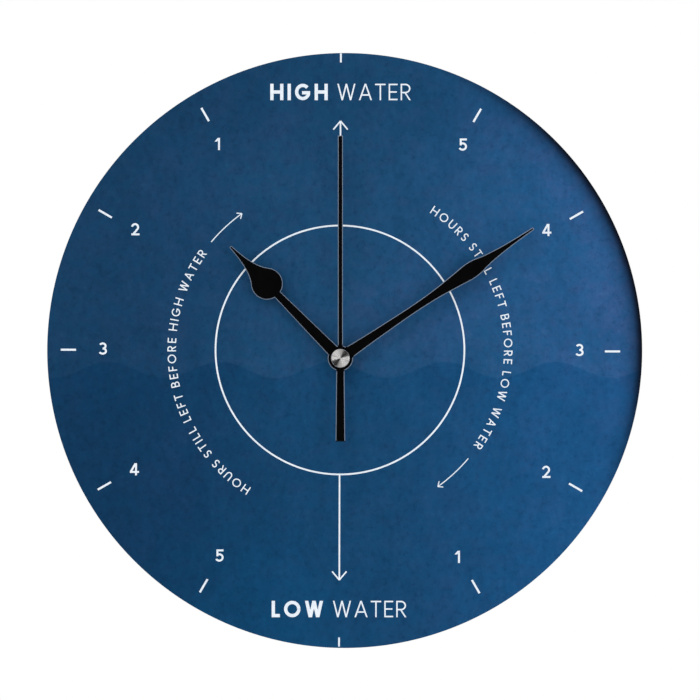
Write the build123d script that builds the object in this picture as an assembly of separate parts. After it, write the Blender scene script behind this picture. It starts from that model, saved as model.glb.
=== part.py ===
from build123d import *
import math
import os

# A wall clock drawn face-on: x to the right, y up, z out of the wall towards the viewer.
# The origin is where the axis of the hands meets the wall. Pieces are stood upright at the end.

# Clearances that all pieces share
OVERRUN = 1.0
RUNNING_CLEARANCE = 0.06
FIT_CLEARANCE = 0.2

# Board and the printed sheet on it
PLATE_DIAMETER = 250.0
PLATE_THICKNESS = 5.0
PLATE_OFFSET_X = 1.8
PLATE_OFFSET_Y = 3.25
PLATE_EDGE_ROUND = 0.5
PLATE_HOLE_CLEARANCE = 0.3
PRINT_THICKNESS = 0.25

# Cell, its bay and its contacts
CELL_DIAMETER = 14.5
CELL_LENGTH = 49.4
CELL_EDGE_ROUND = 0.8
CELL_NUB_DIAMETER = 5.5
CELL_NUB_LENGTH = 1.1
PLUS_SPACE = 1.2
MINUS_SPACE = 2.3
BAY_FLOOR = 1.0
FINGER_NOTCH_RADIUS = 9.0
CONTACT_THICKNESS = 0.3
CONTACT_WIDTH = 10.0
CONTACT_CLEARANCE = 0.1
CONTACT_BUMP_DIAMETER = 4.0
CONTACT_STRIP_WIDTH = 2.0
CONTACT_TAB_LENGTH = 3.0

# Moulded case, its cover and the loop that hangs on the nail
WALL = 1.0
FRONT_WALL = 1.5
DIVIDER = 1.0
CASE_CORNER = 3.0
CASE_EDGE_ROUND = 0.8
COVER_THICKNESS = 1.5
COVER_CLIP_WIDTH = 7.0
COVER_CLIP_LENGTH = 3.0
COVER_CLIP_THICKNESS = 0.9
COVER_CLIP_SPREAD = 16.0
COVER_EDGE_EASE = 0.4
LABEL_RECESS_WIDTH = 28.0
LABEL_RECESS_HEIGHT = 13.0
LABEL_RECESS_DEPTH = 0.3
LABEL_RECESS_CORNER = 1.5
LABEL_RECESS_MARGIN = 4.0
HANGER_WIDTH = 20.0
HANGER_RADIUS = 6.0
HANGER_NECK = 0.5
HANGER_THICKNESS = 2.5
HANGER_HOLE_DIAMETER = 6.0
HANGER_FOOT_THICKNESS = 1.5
HANGER_FOOT_DEPTH = 7.0
HANGER_PEG_DIAMETER = 1.8
HANGER_PEG_SPREAD = 13.0

# Threaded bush and what clamps the board
BUSH_DIAMETER = 7.0
BUSH_FLANGE_RADIUS = 5.6
BUSH_FLANGE_THICKNESS = 1.0
BUSH_PROUD = 0.8
GASKET_DIAMETER = 18.0
GASKET_THICKNESS = 1.0
WASHER_DIAMETER = 9.8
WASHER_THICKNESS = 0.5
NUT_ACROSS_FLATS = 8.5
NUT_THICKNESS = 2.0

# Teeth, alike on every wheel and pinion
ADDENDUM_SHARE = 0.72
DEDENDUM_SHARE = 1.15
TOOTH_SHARE = 0.37
PRESSURE_ANGLE = 14.0

# Gear train: counts, modules and the direction of each axis from the one before
CANNON_TEETH = 12
WORKS_TEETH = 36
WORKS_PINION_TEETH = 10
HOUR_TEETH = 40
SETTER_TEETH = 12
CENTRE_TEETH = 64
THIRD_TEETH = 60
SECOND_TEETH = 40
INTERMEDIATE_TEETH = 48
PINION_TEETH = 8
MOTION_MODULE = 0.5
THIRD_MODULE = 0.32
INTERMEDIATE_MODULE = 0.42
ROTOR_MODULE = 0.34
WORKS_ANGLE = 60.0
SETTER_ANGLE = 20.0
THIRD_ANGLE = 180.0
INTERMEDIATE_ANGLE = 100.0
ROTOR_ANGLE = 140.0
WHEEL_CLEARANCE = 0.6

# Thicknesses of what is stacked behind the front wall
HOUR_WHEEL_THICKNESS = 1.2
CANNON_LENGTH = 1.8
WORKS_WHEEL_THICKNESS = 1.0
SPRING_THICKNESS = 0.5
SPRING_DIAMETER = 6.4
CENTRE_WHEEL_THICKNESS = 1.0
COLLAR_THICKNESS = 0.5
COLLAR_DIAMETER = 4.4
TRAIN_WHEEL_THICKNESS = 0.9
BRIDGE_THICKNESS = 1.0
LAYER_GAPS = 7

# Shafts, tubes and what carries them
SHAFT_DIAMETER = 1.0
PIVOT_DEPTH = 0.9
MINUTE_TUBE_DIAMETER = 3.2
HOUR_TUBE_DIAMETER = 5.0
POST_DIAMETER = 1.6
STUD_DIAMETER = 1.2
PILLAR_DIAMETER = 3.0
PILLAR_GAP = 0.9
TENON_DIAMETER = 1.6
BRIDGE_MARGIN = 2.4
LOWER_PILLAR_ANGLE = -40.0
LEFT_PILLAR_ANGLE = 215.0
TOP_PILLAR_ANGLE = 85.0

# Step motor
MAGNET_DIAMETER = 6.4
MAGNET_LENGTH = 2.4
MAGNET_BORE = 2.0
MAGNET_AIR_GAP = 0.5
STATOR_THICKNESS = 1.0
STATOR_RISE = 0.5
STATOR_ARM_WIDTH = 2.4
STATOR_RING_DIAMETER = 11.4
STATOR_WEB_WIDTH = 4.2
STATOR_NOTCH_DIAMETER = 0.9
CORE_LENGTH = 20.6
CORE_WIDTH = 2.4
CORE_THICKNESS = 1.0
COIL_SPACING = 13.3
BOBBIN_LENGTH = 15.0
BOBBIN_FLANGE = 6.8
BOBBIN_FLANGE_THICKNESS = 0.8
BOBBIN_TUBE_DIAMETER = 4.0
WINDING_DIAMETER = 6.2

# Circuit board
BOARD_WIDTH = 13.0
BOARD_HEIGHT = 15.6
BOARD_THICKNESS = 1.0
BOARD_MARGIN = 0.8
BOARD_POST_INSET = 2.5
CRYSTAL_DIAMETER = 2.0
CRYSTAL_LENGTH = 6.0
CHIP_DIAMETER = 5.4
CHIP_HEIGHT = 1.1

# Setting knob in its well
KNOB_DIAMETER = 12.0
KNOB_THICKNESS = 2.4
KNOB_SETBACK = 0.5
KNOB_SKIN = 0.8
KNOB_RIB_DEPTH = 0.35
KNOB_RIBS = 30
KNOB_DISH_DIAMETER = 8.4
KNOB_DISH_DEPTH = 0.35
KNOB_BAR_WIDTH = 1.6
KNOB_CLEARANCE = 0.8
WELL_FLOOR = 1.0
WELL_STEP_WIDTH = 0.9
WELL_STEP_DEPTH = 0.4
SETTER_SHAFT_DIAMETER = 2.0

# Hands
HAND_THICKNESS = 0.5
HAND_GAP = 1.2
HAND_TIP_WIDTH = 0.9
TUBE_PROUD = 0.2
COLLET_WALL = 0.9
COLLET_HEIGHT = 0.8
HOUR_HUB_DIAMETER = 10.6
HOUR_HAND_ANGLE = 134.6
HOUR_HAND_LENGTH = 65.9
HOUR_STEM_ROOT_WIDTH = 5.5
HOUR_STEM_END_WIDTH = 3.1
HOUR_LOBE_DIAMETER = 13.3
HOUR_LOBE_DISTANCE = 43.9
HOUR_SPEAR_WIDTH = 11.6
HOUR_SPEAR_SHARES = ((0.18, 0.62), (0.37, 0.39), (0.60, 0.22), (0.80, 0.145))
MINUTE_HUB_DIAMETER = 9.8
MINUTE_HAND_ANGLE = 33.9
MINUTE_HAND_LENGTH = 97.7
MINUTE_ROOT_WIDTH = 6.0
MINUTE_BELLY_WIDTH = 7.0
MINUTE_BELLY_DISTANCE = 66.5
MINUTE_STEM_SHARES = ((0.09, 0.72), (0.19, 0.625), (0.38, 0.52), (0.56, 0.465), (0.75, 0.585), (0.89, 0.835))
MINUTE_SPEAR_SHARES = ((0.09, 0.925), (0.22, 0.67), (0.43, 0.425), (0.69, 0.26))
SECOND_HAND_LENGTH = 93.3
SECOND_BLADE_WIDTH = 2.1
SECOND_TAIL_LENGTH = 34.9
SECOND_TAIL_ROOT_WIDTH = 3.3
SECOND_TAIL_END_WIDTH = 4.0
SECOND_HAND_ANGLE = 90.0
CAP_DIAMETER = 8.2
CAP_HEIGHT = 1.2
CAP_EDGE_ROUND = 0.4


def polar(start, distance, degrees):
    """Point at a distance and direction from another."""
    turn = math.radians(degrees)
    return (start[0] + distance * math.cos(turn), start[1] + distance * math.sin(turn))


def centre_distance(module, first_teeth, second_teeth):
    """Distance between two meshing axes."""
    return module * (first_teeth + second_teeth) / 2


def tip_radius(teeth, module):
    """Radius over the tips of a toothed wheel."""
    return module * (teeth / 2 + ADDENDUM_SHARE)


# Axes of the train
AXIS = (0, 0)
WORKS_DISTANCE = centre_distance(MOTION_MODULE, CANNON_TEETH, WORKS_TEETH)
HOUR_MODULE = 2 * WORKS_DISTANCE / (WORKS_PINION_TEETH + HOUR_TEETH)
WORKS_AT = polar(AXIS, WORKS_DISTANCE, WORKS_ANGLE)
SETTER_AT = polar(WORKS_AT, centre_distance(MOTION_MODULE, WORKS_TEETH, SETTER_TEETH), SETTER_ANGLE)
THIRD_DISTANCE = centre_distance(THIRD_MODULE, CENTRE_TEETH, PINION_TEETH)
SECOND_MODULE = 2 * THIRD_DISTANCE / (THIRD_TEETH + PINION_TEETH)
THIRD_AT = polar(AXIS, THIRD_DISTANCE, THIRD_ANGLE)
INTERMEDIATE_DISTANCE = centre_distance(INTERMEDIATE_MODULE, SECOND_TEETH, PINION_TEETH)
INTERMEDIATE_AT = polar(AXIS, INTERMEDIATE_DISTANCE, INTERMEDIATE_ANGLE)
ROTOR_DISTANCE = centre_distance(ROTOR_MODULE, INTERMEDIATE_TEETH, PINION_TEETH)
ROTOR_AT = polar(INTERMEDIATE_AT, ROTOR_DISTANCE, ROTOR_ANGLE)

# Outline of the case, from the cell and the train that it holds
WELL_RADIUS = KNOB_DIAMETER / 2 + KNOB_CLEARANCE
COIL_X = ROTOR_AT[0] - COIL_SPACING
CELL_SPACE = CELL_LENGTH + CELL_NUB_LENGTH + PLUS_SPACE + MINUS_SPACE
HALF_INNER = max(
    CELL_SPACE / 2,
    SETTER_AT[0] + WELL_RADIUS + WALL + FIT_CLEARANCE,
    BOBBIN_FLANGE / 2 + FIT_CLEARANCE - COIL_X,
)
LOW_WHEEL = max(tip_radius(CENTRE_TEETH, THIRD_MODULE), tip_radius(THIRD_TEETH, SECOND_MODULE))
CHAMBER_BOTTOM = -LOW_WHEEL - WHEEL_CLEARANCE
CHAMBER_TOP = max(
    ROTOR_AT[1] + CORE_LENGTH / 2 + FIT_CLEARANCE,
    SETTER_AT[1] + WELL_RADIUS + WALL + FIT_CLEARANCE,
)
CASE_TOP = CHAMBER_TOP + WALL
BAY_TOP = CHAMBER_BOTTOM - DIVIDER
BAY_BOTTOM = BAY_TOP - CELL_DIAMETER - 2 * FIT_CLEARANCE
BAY_MIDDLE = (BAY_TOP + BAY_BOTTOM) / 2
CASE_BOTTOM = BAY_BOTTOM - WALL
CASE_WIDTH = 2 * (HALF_INNER + WALL)
HANGER_HOLE_Y = CASE_TOP + HANGER_NECK + HANGER_RADIUS

# Depths, from the wall forward
CASE_FRONT = CELL_DIAMETER + BAY_FLOOR + 2 * FIT_CLEARANCE
CELL_Z = FIT_CLEARANCE + CELL_DIAMETER / 2
CHAMBER_FRONT = CASE_FRONT - FRONT_WALL
WHEEL_STACK = (
    HOUR_WHEEL_THICKNESS + CANNON_LENGTH + SPRING_THICKNESS + CENTRE_WHEEL_THICKNESS
    + COLLAR_THICKNESS + 3 * TRAIN_WHEEL_THICKNESS + BRIDGE_THICKNESS
)
LAYER_GAP = (CHAMBER_FRONT - COVER_THICKNESS - WHEEL_STACK) / LAYER_GAPS
PINION_OVERLAP = LAYER_GAP / 2
HOUR_WHEEL_FRONT = CHAMBER_FRONT - LAYER_GAP
HOUR_WHEEL_BACK = HOUR_WHEEL_FRONT - HOUR_WHEEL_THICKNESS
CANNON_FRONT = HOUR_WHEEL_BACK - LAYER_GAP
CANNON_BACK = CANNON_FRONT - CANNON_LENGTH
WORKS_FRONT = CANNON_FRONT - (CANNON_LENGTH - WORKS_WHEEL_THICKNESS) / 2
WORKS_BACK = WORKS_FRONT - WORKS_WHEEL_THICKNESS
CENTRE_FRONT = CANNON_BACK - SPRING_THICKNESS
CENTRE_BACK = CENTRE_FRONT - CENTRE_WHEEL_THICKNESS
COLLAR_BACK = CENTRE_BACK - COLLAR_THICKNESS
THIRD_FRONT = COLLAR_BACK - LAYER_GAP
THIRD_BACK = THIRD_FRONT - TRAIN_WHEEL_THICKNESS
SECOND_FRONT = THIRD_BACK - LAYER_GAP
SECOND_BACK = SECOND_FRONT - TRAIN_WHEEL_THICKNESS
INTERMEDIATE_FRONT = SECOND_BACK - LAYER_GAP
INTERMEDIATE_BACK = INTERMEDIATE_FRONT - TRAIN_WHEEL_THICKNESS
BRIDGE_FRONT = INTERMEDIATE_BACK - LAYER_GAP
BRIDGE_BACK = BRIDGE_FRONT - BRIDGE_THICKNESS
SHAFT_BACK = BRIDGE_BACK - LAYER_GAP / 2

# Depths in front of the case
PLATE_BACK = CASE_FRONT + GASKET_THICKNESS
PLATE_FRONT = PLATE_BACK + PLATE_THICKNESS
PRINT_FRONT = PLATE_FRONT + PRINT_THICKNESS
WASHER_FRONT = PRINT_FRONT + WASHER_THICKNESS
NUT_FRONT = WASHER_FRONT + NUT_THICKNESS
BUSH_FRONT = NUT_FRONT + BUSH_PROUD
HOUR_HAND_BACK = BUSH_FRONT + HAND_GAP
HOUR_TUBE_FRONT = HOUR_HAND_BACK + HAND_THICKNESS + TUBE_PROUD
MINUTE_HAND_BACK = HOUR_TUBE_FRONT + HAND_GAP
MINUTE_TUBE_FRONT = MINUTE_HAND_BACK + HAND_THICKNESS + TUBE_PROUD
SECOND_HAND_BACK = MINUTE_TUBE_FRONT + HAND_GAP
SECOND_HAND_FRONT = SECOND_HAND_BACK + HAND_THICKNESS

# Motor and circuit board places
STATOR_BACK = THIRD_FRONT + STATOR_RISE
STATOR_FRONT = STATOR_BACK + STATOR_THICKNESS
CORE_FRONT = STATOR_FRONT + CORE_THICKNESS
COIL_Z = STATOR_FRONT + CORE_THICKNESS / 2
MAGNET_BACK = STATOR_BACK + (STATOR_THICKNESS - MAGNET_LENGTH) / 2
CORE_BOTTOM = ROTOR_AT[1] - CORE_LENGTH / 2
CORE_TOP = ROTOR_AT[1] + CORE_LENGTH / 2
BOARD_RIGHT = HALF_INNER - BOARD_MARGIN
BOARD_LEFT = BOARD_RIGHT - BOARD_WIDTH
BOARD_BOTTOM = CHAMBER_BOTTOM + BOARD_MARGIN
BOARD_TOP = BOARD_BOTTOM + BOARD_HEIGHT
BOARD_FRONT = THIRD_FRONT
BOARD_BACK = BOARD_FRONT - BOARD_THICKNESS
STRIP_BACK = BOARD_BACK - CONTACT_STRIP_WIDTH
CELL_NUB_X = HALF_INNER - PLUS_SPACE
CELL_HEAD_X = CELL_NUB_X - CELL_NUB_LENGTH
CELL_BASE_X = CELL_HEAD_X - CELL_LENGTH

# Pillars of the bridge stand clear of the wheels beside them
PILLAR_CLEAR = PILLAR_DIAMETER / 2 + PILLAR_GAP
PILLARS = (
    polar(AXIS, tip_radius(CENTRE_TEETH, THIRD_MODULE) + PILLAR_CLEAR, LOWER_PILLAR_ANGLE),
    polar(THIRD_AT, tip_radius(THIRD_TEETH, SECOND_MODULE) + PILLAR_CLEAR, LEFT_PILLAR_ANGLE),
    polar(INTERMEDIATE_AT, tip_radius(INTERMEDIATE_TEETH, ROTOR_MODULE) + PILLAR_CLEAR, TOP_PILLAR_ANGLE),
)
BOARD_POSTS = (
    (BOARD_RIGHT - BOARD_POST_INSET, BOARD_TOP - BOARD_POST_INSET),
    (BOARD_LEFT + BOARD_POST_INSET, BOARD_BOTTOM + 2 * BOARD_POST_INSET),
)
COIL_POSTS = (
    (COIL_X, CORE_BOTTOM + STATOR_ARM_WIDTH / 2),
    (COIL_X, CORE_TOP - STATOR_ARM_WIDTH / 2),
)


def disc(radius, back, front, at=AXIS):
    """Round bar along the depth."""
    return Pos(at[0], at[1], (back + front) / 2) * Cylinder(radius, front - back)


def ring(outer, inner, back, front, at=AXIS):
    """Round bar with a bore."""
    return disc(outer, back, front, at) - disc(inner, back - OVERRUN, front + OVERRUN, at)


def slab(left, right, bottom, top, back, front):
    """Block between six planes."""
    middle = Pos((left + right) / 2, (bottom + top) / 2, (back + front) / 2)
    return middle * Box(right - left, top - bottom, front - back)


def layer(face, back, front):
    """Face drawn in the dial's plane, given a thickness."""
    return extrude(Pos(0, 0, back) * face, amount=front - back)


def gear_face(teeth, module, phase):
    """Straight-flanked teeth; phase is the direction of one tooth, in radians."""
    slope = math.tan(math.radians(PRESSURE_ANGLE))
    half = math.pi * module * TOOTH_SHARE / 2
    root = module * (teeth / 2 - DEDENDUM_SHARE)
    half_root = half + slope * DEDENDUM_SHARE * module
    half_tip = half - slope * ADDENDUM_SHARE * module
    tip = tip_radius(teeth, module)
    points = []
    for tooth in range(teeth):
        middle = phase + 2 * math.pi * tooth / teeth
        for radius, side in ((root, -half_root), (tip, -half_tip), (tip, half_tip), (root, half_root)):
            angle = middle + math.atan2(side, radius)
            points.append((radius * math.cos(angle), radius * math.sin(angle)))
    return Polygon(*points, align=None)


def mating_phase(teeth, phase, degrees, mate_teeth):
    """Phase of the mate that lies in a direction, so that its gap takes the tooth."""
    direction = math.radians(degrees)
    passed = (direction - phase) * teeth / (2 * math.pi)
    return direction + math.pi - (0.5 - passed) * 2 * math.pi / mate_teeth


def toothed(teeth, module, back, front, at=AXIS, phase=0):
    """Toothed wheel or pinion without a bore."""
    return Pos(at[0], at[1], 0) * layer(gear_face(teeth, module, phase), back, front)


def case_outline(inset=0):
    """Rounded outline of the movement, or the same drawn in by a wall."""
    height = CASE_TOP - CASE_BOTTOM - 2 * inset
    outline = RectangleRounded(CASE_WIDTH - 2 * inset, height, CASE_CORNER - inset)
    return Pos(0, (CASE_TOP + CASE_BOTTOM) / 2) * outline


def band(bottom, top, back, front):
    """Slab across the whole width of the case."""
    return slab(-CASE_WIDTH, CASE_WIDTH, bottom, top, back, front)


def plate_disc(back, front):
    """Disc of the board's outline with the hole for the bush."""
    centre = (PLATE_OFFSET_X, PLATE_OFFSET_Y)
    hole = disc(BUSH_DIAMETER / 2 + PLATE_HOLE_CLEARANCE, back - OVERRUN, front + OVERRUN)
    return disc(PLATE_DIAMETER / 2, back, front, centre) - hole


def dial_plate():
    """Board of the dial, its back edge eased."""
    board = plate_disc(PLATE_BACK, PLATE_FRONT)
    rim = board.faces().sort_by(Axis.Z)[0].edges().sort_by(SortBy.LENGTH)[-1]
    return fillet(rim, PLATE_EDGE_ROUND)


def dial_print():
    """Printed sheet over the whole board."""
    return plate_disc(PLATE_FRONT, PRINT_FRONT)


def case_shell():
    """Box with the cell bay below and the wheel chamber above, open to the back."""
    block = layer(case_outline(), 0, CASE_FRONT)
    block = fillet(block.faces().sort_by(Axis.Z)[-1].edges(), CASE_EDGE_ROUND)
    inside = case_outline(WALL)
    chamber = layer(inside, -OVERRUN, CHAMBER_FRONT) & band(CHAMBER_BOTTOM, CASE_TOP, -OVERRUN, CASE_FRONT)
    bay = layer(inside, -OVERRUN, CASE_FRONT - BAY_FLOOR) & band(CASE_BOTTOM, BAY_TOP, -OVERRUN, CASE_FRONT)
    seat = band(BAY_TOP, CASE_TOP + OVERRUN, -OVERRUN, COVER_THICKNESS)
    return block - chamber - bay - seat


def case_supports():
    """Post, pillars and studs that stand on the inside of the front wall."""
    post = disc(POST_DIAMETER / 2, WORKS_BACK - PINION_OVERLAP, CHAMBER_FRONT, WORKS_AT)
    supports = [post]
    for place in PILLARS:
        supports.append(disc(PILLAR_DIAMETER / 2, BRIDGE_FRONT, CHAMBER_FRONT, place))
        supports.append(disc(TENON_DIAMETER / 2, SHAFT_BACK, BRIDGE_FRONT, place))
    for place in BOARD_POSTS:
        supports.append(disc(PILLAR_DIAMETER / 2, BOARD_FRONT, CHAMBER_FRONT, place))
        supports.append(disc(TENON_DIAMETER / 2, BOARD_BACK - PINION_OVERLAP, BOARD_FRONT, place))
    for place in COIL_POSTS:
        supports.append(disc(STATOR_ARM_WIDTH / 2, CORE_FRONT, CHAMBER_FRONT, place))
    return supports


def case_cuts():
    """Holes and notches in the case: bush seat, pivots, contact slots, finger notch, hanger pegs."""
    hexagon = RegularPolygon(BUSH_FLANGE_RADIUS, 6)
    tube_hole = HOUR_TUBE_DIAMETER / 2 + RUNNING_CLEARANCE
    pivot_hole = SHAFT_DIAMETER / 2 + RUNNING_CLEARANCE
    setter_hole = SETTER_SHAFT_DIAMETER / 2 + RUNNING_CLEARANCE
    pivot_end = CHAMBER_FRONT + PIVOT_DEPTH
    cuts = [
        layer(hexagon, CASE_FRONT - BUSH_FLANGE_THICKNESS, CASE_FRONT + OVERRUN),
        disc(tube_hole, CHAMBER_FRONT - OVERRUN, CASE_FRONT + OVERRUN),
        disc(pivot_hole, CHAMBER_FRONT, pivot_end, THIRD_AT),
        disc(pivot_hole, CHAMBER_FRONT, pivot_end, ROTOR_AT),
        disc(setter_hole, CHAMBER_FRONT, pivot_end, SETTER_AT),
    ]
    slot = CONTACT_THICKNESS + FIT_CLEARANCE
    for left in (-HALF_INNER, HALF_INNER - slot):
        right = left + slot
        cuts.append(slab(left, right, BAY_TOP - OVERRUN, CHAMBER_BOTTOM + OVERRUN, 0, BOARD_BACK + FIT_CLEARANCE))
    notch = Rot(90, 0, 0) * Cylinder(FINGER_NOTCH_RADIUS, 2 * WALL + 2 * OVERRUN)
    cuts.append(Pos(0, CASE_BOTTOM, 0) * notch)
    for side in (-1, 1):
        cuts.append(hanger_peg(side, HANGER_PEG_DIAMETER / 2 + RUNNING_CLEARANCE, CHAMBER_TOP - OVERRUN))
    return cuts


def movement_case():
    """Moulded case with everything that stands on it."""
    shell = case_shell()
    for support in case_supports():
        shell += support
    for cut in case_cuts():
        shell -= cut
    return shell


def hanger_peg(side, radius, bottom):
    """Peg that holds the hanger in the top wall of the case."""
    top = CASE_TOP + HANGER_FOOT_THICKNESS / 2
    place = Pos(side * HANGER_PEG_SPREAD / 2, (top + bottom) / 2, COVER_THICKNESS + HANGER_FOOT_DEPTH / 2)
    return place * Rot(90, 0, 0) * Cylinder(radius, top - bottom)


def hanger_loop():
    """Arched eye on a foot that seats on the top wall."""
    eye = Pos(0, HANGER_HOLE_Y) * Circle(HANGER_RADIUS)
    foot = Pos(0, CASE_TOP + HANGER_FOOT_THICKNESS / 2) * Rectangle(HANGER_WIDTH, HANGER_FOOT_THICKNESS)
    arch = make_hull(eye.edges() + foot.edges())
    arch -= Pos(0, HANGER_HOLE_Y) * Circle(HANGER_HOLE_DIAMETER / 2)
    loop = layer(arch, COVER_THICKNESS, COVER_THICKNESS + HANGER_THICKNESS)
    loop += layer(foot, COVER_THICKNESS, COVER_THICKNESS + HANGER_FOOT_DEPTH)
    for side in (-1, 1):
        loop += hanger_peg(side, HANGER_PEG_DIAMETER / 2, CHAMBER_TOP)
    return loop


def cover_clips():
    """Tongues of the cover that grip inside the side walls."""
    outer = HALF_INNER - RUNNING_CLEARANCE
    inner = outer - COVER_CLIP_THICKNESS
    low = INTERMEDIATE_AT[1] - COVER_CLIP_WIDTH / 2
    front = COVER_THICKNESS + COVER_CLIP_LENGTH
    top = CHAMBER_TOP - RUNNING_CLEARANCE
    clips = []
    for left, right in ((-outer, -inner), (inner, outer)):
        clips.append(slab(left, right, low, low + COVER_CLIP_WIDTH, COVER_THICKNESS, front))
    for side in (-1, 1):
        middle = side * COVER_CLIP_SPREAD / 2
        left = middle - COVER_CLIP_WIDTH / 2
        clips.append(slab(left, left + COVER_CLIP_WIDTH, top - COVER_CLIP_THICKNESS, top, COVER_THICKNESS, front))
    return clips


def label_recess():
    """Shallow bare recess beside the knob, where such a cover takes a label."""
    middle = LABEL_RECESS_MARGIN + LABEL_RECESS_WIDTH / 2 - CASE_WIDTH / 2
    outline = RectangleRounded(LABEL_RECESS_WIDTH, LABEL_RECESS_HEIGHT, LABEL_RECESS_CORNER)
    return layer(Pos(middle, SETTER_AT[1]) * outline, -OVERRUN, LABEL_RECESS_DEPTH)


def back_cover():
    """Cover of the wheel chamber, with the well of the setting knob, a label recess and eased edges."""
    cover = layer(case_outline(), 0, COVER_THICKNESS) & band(BAY_TOP, CASE_TOP, 0, COVER_THICKNESS)
    cover = chamfer(cover.faces().sort_by(Axis.Z)[0].edges(), COVER_EDGE_EASE)
    well_depth = KNOB_SETBACK + KNOB_THICKNESS + FIT_CLEARANCE
    well_front = well_depth + WELL_FLOOR
    for clip in cover_clips():
        cover += clip
    cover += disc(WELL_RADIUS + WALL, 0, well_front, SETTER_AT)
    cover -= disc(WELL_RADIUS, -OVERRUN, well_depth, SETTER_AT)
    cover -= disc(WELL_RADIUS + WELL_STEP_WIDTH, -OVERRUN, WELL_STEP_DEPTH, SETTER_AT)
    cover -= label_recess()
    shaft_hole = SETTER_SHAFT_DIAMETER / 2 + RUNNING_CLEARANCE
    return cover - disc(shaft_hole, -OVERRUN, well_front + OVERRUN, SETTER_AT)


def threaded_bush():
    """Brass bush: hexagon flange let into the case, barrel through the board."""
    flange = layer(RegularPolygon(BUSH_FLANGE_RADIUS, 6), CASE_FRONT - BUSH_FLANGE_THICKNESS, CASE_FRONT)
    barrel = disc(BUSH_DIAMETER / 2, CASE_FRONT - BUSH_FLANGE_THICKNESS, BUSH_FRONT)
    bore = disc(HOUR_TUBE_DIAMETER / 2 + RUNNING_CLEARANCE, 0, BUSH_FRONT + OVERRUN)
    return flange + barrel - bore


def rubber_gasket():
    """Soft ring between the case and the board."""
    return ring(GASKET_DIAMETER / 2, BUSH_DIAMETER / 2 + FIT_CLEARANCE, CASE_FRONT, PLATE_BACK)


def flat_washer():
    """Washer on the printed face."""
    return ring(WASHER_DIAMETER / 2, BUSH_DIAMETER / 2 + FIT_CLEARANCE, PRINT_FRONT, WASHER_FRONT)


def hex_nut():
    """Nut that clamps the board."""
    hexagon = RegularPolygon(NUT_ACROSS_FLATS / 2, 6, major_radius=False)
    bore = Circle(BUSH_DIAMETER / 2 + RUNNING_CLEARANCE)
    return layer(hexagon - bore, WASHER_FRONT, NUT_FRONT)


def train_bridge():
    """Inner plate on three pillars, with the rear pivot holes and the stud of the intermediate wheel."""
    corners = [Pos(*place) * Circle(BRIDGE_MARGIN) for place in (*PILLARS, ROTOR_AT)]
    outline = make_hull([edge for corner in corners for edge in corner.edges()])
    for place in PILLARS:
        outline -= Pos(*place) * Circle(TENON_DIAMETER / 2 + RUNNING_CLEARANCE)
    for place in (AXIS, THIRD_AT, ROTOR_AT):
        outline -= Pos(*place) * Circle(SHAFT_DIAMETER / 2 + RUNNING_CLEARANCE)
    stud = disc(STUD_DIAMETER / 2, BRIDGE_BACK, SECOND_FRONT + PINION_OVERLAP, INTERMEDIATE_AT)
    return layer(outline, BRIDGE_BACK, BRIDGE_FRONT) + stud


def circuit_board():
    """Board on two posts."""
    board = slab(BOARD_LEFT, BOARD_RIGHT, BOARD_BOTTOM, BOARD_TOP, BOARD_BACK, BOARD_FRONT)
    for place in BOARD_POSTS:
        board -= disc(TENON_DIAMETER / 2 + RUNNING_CLEARANCE, BOARD_BACK - OVERRUN, BOARD_FRONT + OVERRUN, place)
    return board


def crystal_can():
    """Round can of the crystal, lying on the board."""
    can = Rot(90, 0, 0) * Cylinder(CRYSTAL_DIAMETER / 2, CRYSTAL_LENGTH)
    middle = BOARD_TOP - BOARD_POST_INSET - CRYSTAL_LENGTH / 2
    return Pos(BOARD_LEFT + BOARD_POST_INSET, middle, BOARD_BACK - CRYSTAL_DIAMETER / 2) * can


def chip_cover():
    """Resin drop over the chip, a cap of a sphere."""
    radius = (CHIP_DIAMETER ** 2 / 4 + CHIP_HEIGHT ** 2) / (2 * CHIP_HEIGHT)
    middle_x = BOARD_RIGHT - BOARD_POST_INSET - CHIP_DIAMETER / 2
    middle_y = (BOARD_BOTTOM + BOARD_TOP) / 2
    ball = Pos(middle_x, middle_y, BOARD_BACK - CHIP_HEIGHT + radius) * Sphere(radius)
    return ball & slab(BOARD_LEFT, BOARD_RIGHT, BOARD_BOTTOM, BOARD_TOP, BOARD_BACK - CHIP_HEIGHT, BOARD_BACK)


def coil_bar(radius, bottom, top):
    """Round bar along the coil."""
    return Pos(COIL_X, (bottom + top) / 2, COIL_Z) * Rot(90, 0, 0) * Cylinder(radius, top - bottom)


def coil_span():
    """Lower and upper end of the bobbin."""
    return (ROTOR_AT[1] - BOBBIN_LENGTH / 2, ROTOR_AT[1] + BOBBIN_LENGTH / 2)


def core_slab(room=0):
    """Flat bar through the coil, or the hole that takes it."""
    half = CORE_WIDTH / 2 + room
    return slab(COIL_X - half, COIL_X + half, CORE_BOTTOM, CORE_TOP, STATOR_FRONT - room, CORE_FRONT + room)


def coil_bobbin():
    """Spool with square flanges and a flat hole for the core."""
    bottom, top = coil_span()
    half = BOBBIN_FLANGE / 2
    spool = coil_bar(BOBBIN_TUBE_DIAMETER / 2, bottom, top)
    for low in (bottom, top - BOBBIN_FLANGE_THICKNESS):
        high = low + BOBBIN_FLANGE_THICKNESS
        spool += slab(COIL_X - half, COIL_X + half, low, high, COIL_Z - half, COIL_Z + half)
    return spool - core_slab(RUNNING_CLEARANCE)


def coil_winding():
    """Copper winding between the flanges."""
    bottom, top = coil_span()
    low = bottom + BOBBIN_FLANGE_THICKNESS
    high = top - BOBBIN_FLANGE_THICKNESS
    tube = coil_bar(BOBBIN_TUBE_DIAMETER / 2, bottom, top)
    return coil_bar(WINDING_DIAMETER / 2, low, high) - tube


def coil_core():
    """Iron bar through the bobbin, lying on the stator's arms."""
    return core_slab()


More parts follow.
